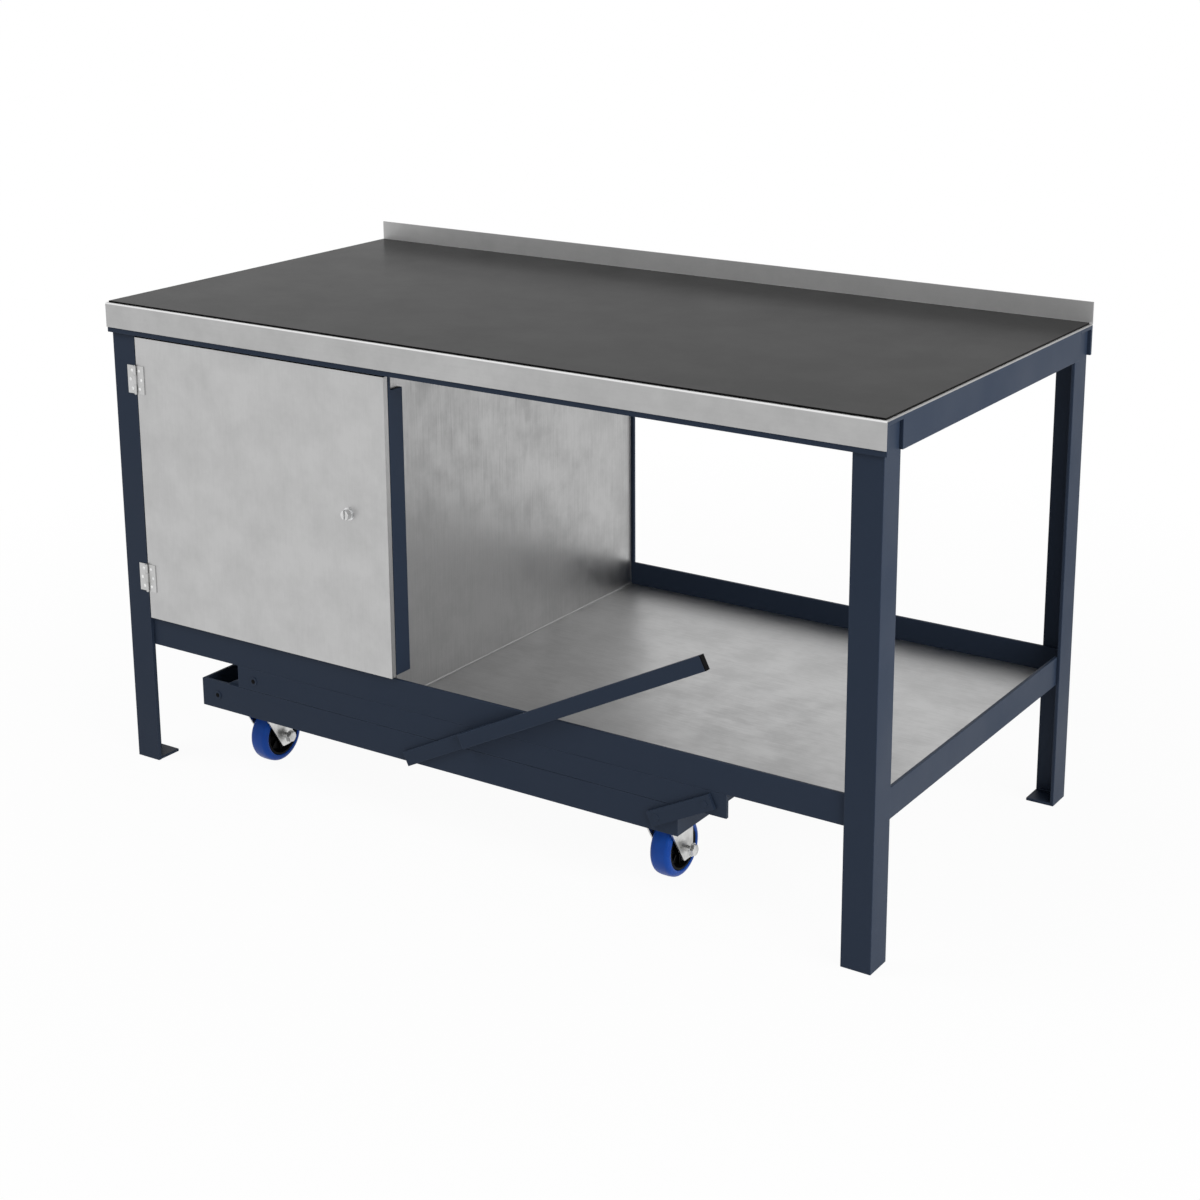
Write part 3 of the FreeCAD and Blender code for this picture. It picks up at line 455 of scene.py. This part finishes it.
def skin(rings, closed=False):
    """Points and faces that join rings of points; the ends get caps unless the last ring joins the first."""
    size = len(rings[0])
    points = [point for ring in rings for point in ring]
    faces = []
    for i in range(len(rings) if closed else len(rings) - 1):
        low, high = i * size, (i + 1) % len(rings) * size
        faces += [(low + k, low + (k + 1) % size, high + (k + 1) % size, high + k) for k in range(size)]
    if not closed:
        faces += [tuple(range(size)), tuple(range(len(points) - size, len(points)))]
    return points, faces


def circle(along, steps):
    """Unit vectors round an axis."""
    side = Vector(along).orthogonal().normalized()
    up = Vector(along).normalized().cross(side)
    turns = [2 * math.pi * k / steps for k in range(steps)]
    return [side * math.cos(turn) + up * math.sin(turn) for turn in turns]


def corners(radius, offset, steps):
    """Corners of a section, by steps in millimetres from a radius and an offset along the axis."""
    return [(radius + out * MM, offset + along * MM) for out, along in steps]


def turned(profile, centre, along, steps=48, closed=False):
    """A profile of (radius, offset) spun about an axis."""
    along = Vector(along).normalized()
    rays = circle(along, steps)
    rings = [[Vector(centre) + along * offset + ray * radius for ray in rays] for radius, offset in profile]
    return skin(rings, closed)


def hexed(base, along, flats, height, steps=48):
    """A nut or bolt head, its outer corners turned off at 30 degrees."""
    along = Vector(along).normalized()
    land = flats / 2 * 0.95
    rings = [[], [], []]
    for k, ray in enumerate(circle(along, steps)):
        reach = flats / 2 / math.cos((2 * math.pi * k / steps) % (math.pi / 3) - math.pi / 6)
        drop = (reach - land) * math.tan(math.radians(30))
        rings[0].append(Vector(base) + ray * reach)
        rings[1].append(Vector(base) + ray * reach + along * (height - drop))
        rings[2].append(Vector(base) + ray * land + along * height)
    return skin(rings)


def threaded(radius, start, end, pitch):
    """Profile of a screwed length with a chamfered tip."""
    turns = max(2, round((end - start) / pitch))
    step = (end - start) / turns
    ridges = [(radius - depth, start + step * (turn + part)) for turn in range(turns)
              for part, depth in ((0.1, pitch * 0.45), (0.5, 0.0))]
    return ridges + [(radius - pitch * 0.7, end)]


def arc(middle, radius, start, end, steps):
    """Points of an arc in a profile, in degrees from outwards to along the axis."""
    turns = [math.radians(start + (end - start) * i / steps) for i in range(steps + 1)]
    return [(middle[0] + radius * math.cos(turn), middle[1] + radius * math.sin(turn)) for turn in turns]


def block(centre, across, up, sizes):
    """A box along the given directions."""
    across, up = Vector(across).normalized(), Vector(up).normalized()
    halves = [across * sizes[0] / 2, up * sizes[1] / 2, across.cross(up) * sizes[2] / 2]
    ring = [-halves[0] - halves[1], halves[0] - halves[1],
            halves[0] + halves[1], halves[1] - halves[0]]
    return skin([[Vector(centre) + corner + end * halves[2] for corner in ring] for end in (-1, 1)])


def bead(start, end, thickness):
    """A weld bead between two points: a tube that swells at each pool, every 4 steps, with tapered ends."""
    start, run = Vector(start), Vector(end) - Vector(start)
    steps = max(4, round(run.length / POOL_STEP))
    rays = circle(run, 10)
    rings = []
    for i in range(steps + 1):
        taper = min(1.0, (i + 0.6) / 3, (steps - i + 0.6) / 3)
        radius = thickness / 2 * taper * (0.86 + 0.14 * abs(math.sin(math.pi * i / 4)))
        rings.append([start + run * (i / steps) + ray * radius for ray in rays])
    return skin(rings)


def shaped(name, parts, sharp=35):
    """One mesh from several lots of points and faces, smooth but for its sharp edges."""
    points, faces = [], []
    for part_points, part_faces in parts:
        faces += [tuple(len(points) + i for i in face) for face in part_faces]
        points += part_points
    mesh = bpy.data.meshes.new(name)
    mesh.from_pydata([tuple(point) for point in points], [], faces)
    form = bmesh.new()
    form.from_mesh(mesh)
    bmesh.ops.recalc_face_normals(form, faces=form.faces)
    form.to_mesh(mesh)
    form.free()
    mesh.shade_smooth()
    mesh.set_sharp_from_angle(angle=math.radians(sharp))
    return mesh


def carved(mesh, cutters):
    """The mesh with other forms cut out of it."""
    whole = bpy.data.objects.new("carving", mesh)
    tool = bpy.data.objects.new("carving_tool", shaped("carving_tool", cutters))
    for made in (whole, tool):
        bpy.context.scene.collection.objects.link(made)
    cut = whole.modifiers.new("cut", "BOOLEAN")
    cut.object = tool
    cut.use_self = True
    shown = whole.evaluated_get(bpy.context.evaluated_depsgraph_get())
    result = bpy.data.meshes.new_from_object(shown)
    for made in (whole, tool):
        bpy.data.objects.remove(made)
    result.name = mesh.name
    result.materials.clear()
    result.shade_smooth()
    result.set_sharp_from_angle(angle=math.radians(35))
    return result


# ---------------------------------------------------------------- operators

class WORKBENCH_OT_coat_bars(bpy.types.Operator):
    """Powder-coat the bars, plates, links and lever"""
    bl_idname = "workbench.coat_bars"
    bl_label = "Coat bars"

    def execute(self, context):
        dress(COATED_BARS, "satin_powder_coat", context.scene.workbench_sizes.bar_edge)
        dress(["lever_cap"], "moulded_nylon")
        return {"FINISHED"}


class WORKBENCH_OT_face_sheets(bpy.types.Operator):
    """Finish worktop, mat, shelf, cupboard and door, and burnish the bend at the divider's foot"""
    bl_idname = "workbench.face_sheets"
    bl_label = "Face sheets"

    def execute(self, context):
        sizes = context.scene.workbench_sizes
        dress(CUPBOARD_SHEETS, "upright_rolled_sheet", sizes.sheet_edge)
        dress(["door_panel"], "door_rolled_sheet", sizes.sheet_edge)
        dress(["shelf_sheet"], "shelf_rolled_sheet", sizes.sheet_edge)
        dress(["worktop_sheet"], "worktop_rolled_sheet", sizes.sheet_edge)
        dress(["worktop_mat"], "calendered_rubber", sizes.sheet_edge)
        low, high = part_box("cupboard_divider")
        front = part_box("shelf_rail_front")[0].y + sizes.bar
        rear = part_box("shelf_rail_rear")[1].y - sizes.bar
        curve = arc((sizes.bend, sizes.bend), sizes.bend, 180, 270, 6)
        section = curve + [(-sizes.bend, 0), (-sizes.bend, sizes.bend)]
        rings = [[Vector((high.x + x, y, low.z + z)) for x, z in section] for y in (front, rear)]
        mesh = shaped("divider_foot_bend", [skin(rings)], 50)
        new_piece("divider_foot_bend", mesh, "burnished_bend", "bench")
        return {"FINISHED"}


class WORKBENCH_OT_fit_hinges(bpy.types.Operator):
    """Finish the hinge leaves and turn their dome-headed, cross-slotted screws"""
    bl_idname = "workbench.fit_hinges"
    bl_label = "Fit hinges"

    def execute(self, context):
        sizes = context.scene.workbench_sizes
        dress(["hinge_leaves_leg", "hinge_leaves_door"], "bright_hinge_steel")
        low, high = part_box("hinge_screws_leg")
        pin = PIVOTS["door_hinge"].x
        face = low.y + sizes.screw_dome
        end = sizes.screw_pitch + sizes.screw_head / 2
        angles = [math.radians(degrees) for degrees in SCREW_DOME_ANGLES]
        dome = [(sizes.screw_head / 2 * math.cos(a), -sizes.screw_dome * math.sin(a)) for a in angles]
        profile = dome + threaded(sizes.screw_shank / 2, 0, sizes.screw_length, SCREW_THREAD)
        for side, node, body in ((-1, "hinge_screws_leg", "bench"), (1, "hinge_screws_door", "door")):
            screws, slots = [], []
            for middle in (low.z + end, high.z - end):
                for rise, reach in ((-1, sizes.screw_inner), (0, sizes.screw_outer), (1, sizes.screw_inner)):
                    centre = Vector((pin + side * reach, face, middle + rise * sizes.screw_pitch))
                    screws.append(turned(profile, centre, (0, 1, 0), 28))
                    # Each screw stopped at its own angle when it was driven home.
                    lean = math.radians(25 + 40 * rise + 15 * side)
                    for turn in (lean, lean + math.pi / 2):
                        slots.append(block(centre - Vector((0, sizes.screw_dome, 0)),
                                           (math.cos(turn), 0, math.sin(turn)), (0, 1, 0), SCREW_SLOT))
            mesh = carved(shaped(node + "_domed", screws), slots)
            new_piece(node + "_domed", mesh, "nickel_plated_steel", body, [node])
        return {"FINISHED"}


class WORKBENCH_OT_fit_lock(bpy.types.Operator):
    """Turn the lock's knob with its slot and spindle, and finish its barrel and cam"""
    bl_idname = "workbench.fit_lock"
    bl_label = "Fit lock"

    def execute(self, context):
        sizes = context.scene.workbench_sizes
        dress(["lock_cam"], "zinc_plated_steel")
        dress(["lock_barrel"], "chromed_brass")
        low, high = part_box("lock_knob")
        pivot = PIVOTS["lock_turn"]
        front = Vector((pivot.x, low.y, pivot.z))
        rim = sizes.knob / 2
        back = sizes.knob_depth
        deep = high.y - low.y
        profile = (corners(0, 0, KNOB_DIMPLE) + corners(rim, 0, KNOB_FRONT) + corners(rim, back, KNOB_GROOVE)
                   + [(sizes.spindle / 2, back)] + corners(sizes.spindle / 2, deep, SPINDLE_TIP))
        # The slot's cutter reaches past the rim on both sides and half of it lies ahead of the knob.
        slot = block(front, (0, 0, 1), (0, 1, 0), (sizes.knob * 1.2, sizes.slot_depth * 2, sizes.slot_width))
        mesh = carved(shaped("lock_knob_turned", [turned(profile, front, (0, 1, 0), 64)]), [slot])
        new_piece("lock_knob_turned", mesh, "chromed_brass", "lock", ["lock_knob"])
        return {"FINISHED"}


class WORKBENCH_OT_fit_pivots(bpy.types.Operator):
    """Put hexagon nuts on the right links' and the lever's studs, and black plugs in the left links' studs,
    whose black is painted shade for their sockets
    """
    bl_idname = "workbench.fit_pivots"
    bl_label = "Fit pivots"

    def execute(self, context):
        sizes = context.scene.workbench_sizes
        reach = PIVOTS["castor_frame_swing"] - PIVOTS["lever_lift"]
        for body, joint, node in (("lever", "lever_lift", "lever_link"),
                                  ("link_front_right", "link_front_right_swing", "link_front_right"),
                                  ("link_rear_right", "link_rear_right_swing", "link_rear_right"),
                                  ("link_front_left", "link_front_left_swing", "link_front_left"),
                                  ("link_rear_left", "link_rear_left_swing", "link_rear_left")):
            low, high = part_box(node)
            rear = "rear" in node
            parts = []
            for place in (PIVOTS[joint], PIVOTS[joint] + reach):
                # Painted shade: on the left links a black dome stands for the dark socket at each stud.
                if "left" in node:
                    face, way = (high.y, 1) if rear else (low.y, -1)
                    dome = corners(0, 0, PLUG_DOME)
                    parts.append(turned(dome, (place.x, face, place.z), (0, way, 0), 24))
                else:
                    face, way = (low.y, -1) if rear else (high.y, 1)
                    base = Vector((place.x, face - way * (sizes.link_nut_height - NUT_PAST_STUD), place.z))
                    parts.append(hexed(base, (0, way, 0), sizes.link_nut, sizes.link_nut_height))
                    tip = corners(0, 0, STUD_TIP)
                    parts.append(turned(tip, (place.x, face, place.z), (0, way, 0), 36))
            if "left" in node:
                mesh = shaped(body + "_plugs", parts)
                new_piece(body + "_plugs", mesh, "moulded_nylon", body)
            else:
                mesh = shaped(body + "_nuts", parts)
                new_piece(body + "_nuts", mesh, "zinc_plated_steel", body)
        return {"FINISHED"}


class WORKBENCH_OT_fit_castors(bpy.types.Operator):
    """Plate the forks and turn wheels, axles and bolts: black ribbed centres, round-shouldered blue tyres"""
    bl_idname = "workbench.fit_castors"
    bl_label = "Fit castors"

    def turn_tyre(self, corner, sizes, middle, outer, half, hub):
        rounding = sizes.tyre_shoulder
        shoulder = arc((outer - TYRE_CROWN - rounding, half - rounding), rounding, 0, 90, 10)
        side = [(outer, half * TYRE_FLAT)] + shoulder + corners(hub, half, TYRE_LIP)
        profile = [(radius, -offset) for radius, offset in reversed(side)] + side
        mesh = shaped("castor_tyre_round_" + corner, [turned(profile, middle, (1, 0, 0), 96, True)], 50)
        new_piece(mesh.name, mesh, "elastic_rubber", "wheel_" + corner,
                  ["castor_tyre_" + corner])

    def turn_hub(self, corner, sizes, middle, half, hub, boss_half):
        web, boss, rim = sizes.hub_web, sizes.hub_boss, half - 1 * MM
        side = ([(sizes.axle / 2 + HUB_CLEARANCE, boss_half)] + corners(boss, boss_half, HUB_BOSS)
                + corners(boss, web, HUB_FILLET) + corners(hub, web, HUB_DISH) + corners(hub, rim, HUB_RIM))
        profile = side + [(radius, -offset) for radius, offset in reversed(side)]
        parts = [turned(profile, middle, (1, 0, 0), 96, True)]
        for face in (-1, 1):
            for ray in circle((1, 0, 0), RIB_COUNT):
                centre = middle + ray * (hub + boss) / 2 * RIB_PLACE + Vector((face * (web + RIB_RISE), 0, 0))
                parts.append(block(centre, ray, (1, 0, 0), (hub - boss - RIB_ROOM, RIB_DEPTH, RIB_THICKNESS)))
        mesh = shaped("castor_hub_ribbed_" + corner, parts)
        new_piece(mesh.name, mesh, "moulded_nylon", "wheel_" + corner,
                  ["castor_hub_" + corner])

    def turn_axle(self, corner, sizes, middle):
        low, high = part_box("castor_axle_" + corner)
        fork_low, fork_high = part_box("castor_fork_" + corner)
        height, radius = sizes.axle_nut_height, sizes.axle / 2
        head = Vector((low.x + height, middle.y, middle.z))
        nut = head + Vector((fork_high.x - fork_low.x, 0, 0))
        shank = [(radius, 0), (radius, nut.x - head.x)]
        thread = threaded(radius, nut.x - head.x + height, high.x - head.x, AXLE_THREAD)
        parts = [hexed(head, (-1, 0, 0), sizes.axle_nut, height),
                 hexed(nut + Vector((WASHER, 0, 0)), (1, 0, 0), sizes.axle_nut, height - WASHER),
                 turned(corners(0, WASHER, WASHER_EDGE), nut, (1, 0, 0), 40),
                 turned(shank + thread, head, (1, 0, 0), 36)]
        mesh = shaped("castor_axle_hexed_" + corner, parts)
        new_piece(mesh.name, mesh, "zinc_plated_steel", "fork_" + corner,
                  ["castor_axle_" + corner])

    def turn_bolts(self, sizes):
        low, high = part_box("castor_bolts")
        height, radius = sizes.bolt_nut_height, sizes.bolt / 2
        # The bolt shows past its nut; its thread starts just inside the nut's seat.
        shank = [(radius, 0)] + threaded(radius, 0.1 * MM, height, BOLT_THREAD)
        parts = []
        for corner in CORNERS:
            centre = PIVOTS[f"castor_{corner}_swivel"]
            for x in (-sizes.bolts_across / 2, sizes.bolts_across / 2):
                for y in (-sizes.bolts_along / 2, sizes.bolts_along / 2):
                    top = Vector((centre.x + x, centre.y + y, high.z - height))
                    foot = Vector((centre.x + x, centre.y + y, low.z + height))
                    parts += [hexed(top, (0, 0, 1), sizes.bolt_nut, height),
                              hexed(foot, (0, 0, -1), sizes.bolt_nut, height - BOLT_PAST_NUT),
                              turned(shank, foot, (0, 0, -1), 24)]
        mesh = shaped("castor_bolts_hexed", parts)
        new_piece(mesh.name, mesh, "zinc_plated_steel", "castor_frame", ["castor_bolts"])

    def execute(self, context):
        sizes = context.scene.workbench_sizes
        dress(["castor_plates"] + ["castor_fork_" + corner for corner in CORNERS], "zinc_plated_steel")
        for corner in CORNERS:
            low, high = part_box("castor_tyre_" + corner)
            hub_low, hub_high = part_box("castor_hub_" + corner)
            middle = (low + high) / 2
            half = (high.x - low.x) / 2
            hub = (hub_high.z - hub_low.z) / 2
            self.turn_tyre(corner, sizes, middle, (high.z - low.z) / 2, half, hub)
            self.turn_hub(corner, sizes, middle, half, hub, (hub_high.x - hub_low.x) / 2)
            self.turn_axle(corner, sizes, middle)
        self.turn_bolts(sizes)
        return {"FINISHED"}


class WORKBENCH_OT_run_welds(bpy.types.Operator):
    """Run the coated weld beads of the feet, the tray's corners, the aprons and the castor frame"""
    bl_idname = "workbench.run_welds"
    bl_label = "Run welds"

    def execute(self, context):
        sizes = context.scene.workbench_sizes
        bar, inset = sizes.bar, sizes.weld / 4
        bench, swinging = [], []
        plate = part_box("foot_plates")[1].z + inset
        for corner in CORNERS:
            low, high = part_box("leg_" + corner)
            right, rear = "right" in corner, "rear" in corner
            near = Vector((high.x - bar - inset if right else low.x + bar + inset,
                           high.y - bar - inset if rear else low.y + bar + inset, plate))
            far = Vector((low.x + bar if right else high.x - bar,
                          low.y + bar if rear else high.y - bar, plate))
            bench += [(near, Vector((far.x, near.y, plate))), (near, Vector((near.x, far.y, plate)))]
        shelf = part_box("shelf_sheet")[1].z
        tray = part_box("shelf_rail_right")[1].x - bar - inset
        front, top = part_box("shelf_rail_front")[0].y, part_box("shelf_rail_front")[1].z
        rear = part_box("shelf_rail_rear")[1].y
        for x in (-tray, tray):
            for y in (front + bar + inset, rear - bar - inset):
                bench.append((Vector((x, y, shelf + inset)), Vector((x, y, top - inset))))
        for node, way in (("apron_front", 1), ("apron_rear", -1)):
            low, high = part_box(node)
            y = high.y + inset if way > 0 else low.y - inset
            z = high.z - inset
            for middle in APRON_WELDS:
                x = middle * (high.x - low.x) * APRON_WELD_PITCH
                bench.append((Vector((x - APRON_WELD_HALF, y, z)), Vector((x + APRON_WELD_HALF, y, z))))
        for side in ("left", "right"):
            low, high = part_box("channel_" + side)
            z = low.z + CHANNEL_WEB + inset
            for y in (low.y + inset, high.y - inset):
                swinging.append((Vector((low.x + CHANNEL_WELD_MARGIN, y, z)),
                                 Vector((high.x - CHANNEL_WELD_MARGIN, y, z))))
        for name, body, runs in (("bench_welds", "bench", bench),
                                 ("castor_frame_welds", "castor_frame", swinging)):
            mesh = shaped(name, [bead(start, end, sizes.weld) for start, end in runs], 60)
            new_piece(name, mesh, "satin_powder_coat", body)
        return {"FINISHED"}


class WORKBENCH_OT_set_studio(bpy.types.Operator):
    """Set the white floor, the white room, the soft lamps and the camera"""
    bl_idname = "workbench.set_studio"
    bl_label = "Set studio"

    def shown_rays(self, owner):
        """1 for rays that show the background: to the camera, in gloss and through glass."""
        rays = add(owner, "ShaderNodeLightPath")
        seen = add(owner, "ShaderNodeMath", {"operation": "ADD"},
                   {0: (rays, "Is Camera Ray"), 1: (rays, "Is Glossy Ray")})
        return add(owner, "ShaderNodeMath", {"operation": "ADD", "use_clamp": True},
                   {0: (seen, "Value"), 1: (rays, "Is Transmission Ray")})

    def lay_floor(self, scene):
        """White paper that keeps the bench's soft shadow near it and is plain white further off."""
        reach, low = 40.0, -0.4 * MM
        mesh = bpy.data.meshes.new("studio_floor")
        edge = [(-reach, -reach, low), (reach, -reach, low), (reach, reach, low), (-reach, reach, low)]
        mesh.from_pydata(edge, [], [(0, 1, 2, 3)])
        paper = bpy.data.materials.new("white_paper")
        paper.use_nodes = True
        paper.node_tree.nodes.clear()
        place = add(paper, "ShaderNodeTexCoord")
        away = add(paper, "ShaderNodeVectorMath", {"operation": "LENGTH"}, {0: (place, "Object")})
        # Up to 0.9 m from the middle the paper shows a little shadow, from 2.2 m on it shows none.
        fade = add(paper, "ShaderNodeMapRange",
                   {"From Min": 0.9, "From Max": 2.2, "To Min": 0.95, "To Max": 1.0},
                   {"Value": (away, "Value")})
        share = add(paper, "ShaderNodeMath", {"operation": "MULTIPLY"},
                    {0: (self.shown_rays(paper), "Value"), 1: (fade, "Result")})
        matt = add(paper, "ShaderNodeBsdfDiffuse", {"Color": linear("#F3F3F3")})
        white = add(paper, "ShaderNodeEmission", {"Color": linear("#FFFFFF"), "Strength": 1.0})
        mixed = add(paper, "ShaderNodeMixShader", {},
                    {0: (share, "Value"), 1: (matt, "BSDF"), 2: (white, "Emission")})
        add(paper, "ShaderNodeOutputMaterial", {}, {"Surface": (mixed, "Shader")})
        mesh.materials.append(paper)
        floor = bpy.data.objects.new("studio_floor", mesh)
        scene.collection.objects.link(floor)

    def light_room(self, scene, studio):
        """A white room whose light on the bench is plain and even."""
        world = bpy.data.worlds.new("white_room")
        world.use_nodes = True
        world.node_tree.nodes.clear()
        level = add(world, "ShaderNodeMapRange", {"To Min": studio.room_light, "To Max": 1.0},
                    {"Value": (self.shown_rays(world), "Value")})
        room = add(world, "ShaderNodeBackground", {"Color": linear("#FFFFFF")},
                   {"Strength": (level, "Result")})
        add(world, "ShaderNodeOutputWorld", {}, {"Surface": (room, "Background")})
        scene.world = world
        for name, place, aim, watts, size in (
                ("key_lamp", (4.1, -0.9, 1.5), (0.2, 0, 0.5), studio.key_power, 3.6),
                ("front_lamp", (-2.4, -2.0, 3.2), (-0.4, -0.2, 0.6), studio.front_power, 2.4)):
            lamp = bpy.data.objects.new(name, bpy.data.lights.new(name, "AREA"))
            lamp.data.energy = watts
            lamp.data.size = size
            # Bare metal shows the white room alone, so that no sheet glares where a lamp would mirror in it.
            lamp.visible_glossy = False
            lamp.location = place
            lamp.rotation_euler = (Vector(aim) - Vector(place)).to_track_quat("-Z", "Y").to_euler()
            scene.collection.objects.link(lamp)

    def stand_camera(self, scene, studio):
        """The photograph's viewpoint."""
        camera = bpy.data.objects.new("camera", bpy.data.cameras.new("camera"))
        camera.data.lens = studio.lens
        camera.data.sensor_width = 36.0
        camera.data.shift_x, camera.data.shift_y = studio.shift
        camera.location = studio.place
        camera.rotation_euler = (math.pi / 2 - studio.tilt, 0, studio.turn)
        scene.collection.objects.link(camera)
        scene.camera = camera

    def execute(self, context):
        scene = context.scene
        scene.view_settings.view_transform = "Standard"
        self.lay_floor(scene)
        self.light_room(scene, scene.workbench_studio)
        self.stand_camera(scene, scene.workbench_studio)
        return {"FINISHED"}


class WORKBENCH_PT_looks(bpy.types.Panel):
    """Sizes, colours and steps of the workbench's looks"""
    bl_idname = "WORKBENCH_PT_looks"
    bl_label = "Mobile workbench"
    bl_space_type = "VIEW_3D"
    bl_region_type = "UI"
    bl_category = "Workbench"

    def draw(self, context):
        scene = context.scene
        for group in (scene.workbench_sizes, scene.workbench_colours, scene.workbench_studio):
            box = self.layout.box()
            for name in group.__annotations__:
                box.prop(group, name)
        for step in STEPS:
            self.layout.operator(step.bl_idname)


GROUPS = {
    "workbench_colours": WorkbenchColours,
    "workbench_sizes": WorkbenchSizes,
    "workbench_studio": WorkbenchStudio,
}
STEPS = (WORKBENCH_OT_coat_bars, WORKBENCH_OT_face_sheets, WORKBENCH_OT_fit_hinges, WORKBENCH_OT_fit_lock,
         WORKBENCH_OT_fit_pivots, WORKBENCH_OT_fit_castors, WORKBENCH_OT_run_welds, WORKBENCH_OT_set_studio)
CLASSES = tuple(GROUPS.values()) + STEPS + (WORKBENCH_PT_looks,)


def register():
    for cls in CLASSES:
        bpy.utils.register_class(cls)
    for name, group in GROUPS.items():
        setattr(bpy.types.Scene, name, bpy.props.PointerProperty(type=group))


def unregister():
    for name in GROUPS:
        delattr(bpy.types.Scene, name)
    for cls in reversed(CLASSES):
        bpy.utils.unregister_class(cls)


def main():
    register()
    bpy.ops.workbench.coat_bars()
    bpy.ops.workbench.face_sheets()
    bpy.ops.workbench.fit_hinges()
    bpy.ops.workbench.fit_lock()
    bpy.ops.workbench.fit_pivots()
    bpy.ops.workbench.fit_castors()
    bpy.ops.workbench.run_welds()
    bpy.ops.workbench.set_studio()
    bpy.context.view_layer.update()


if __name__ == "__main__":
    main()
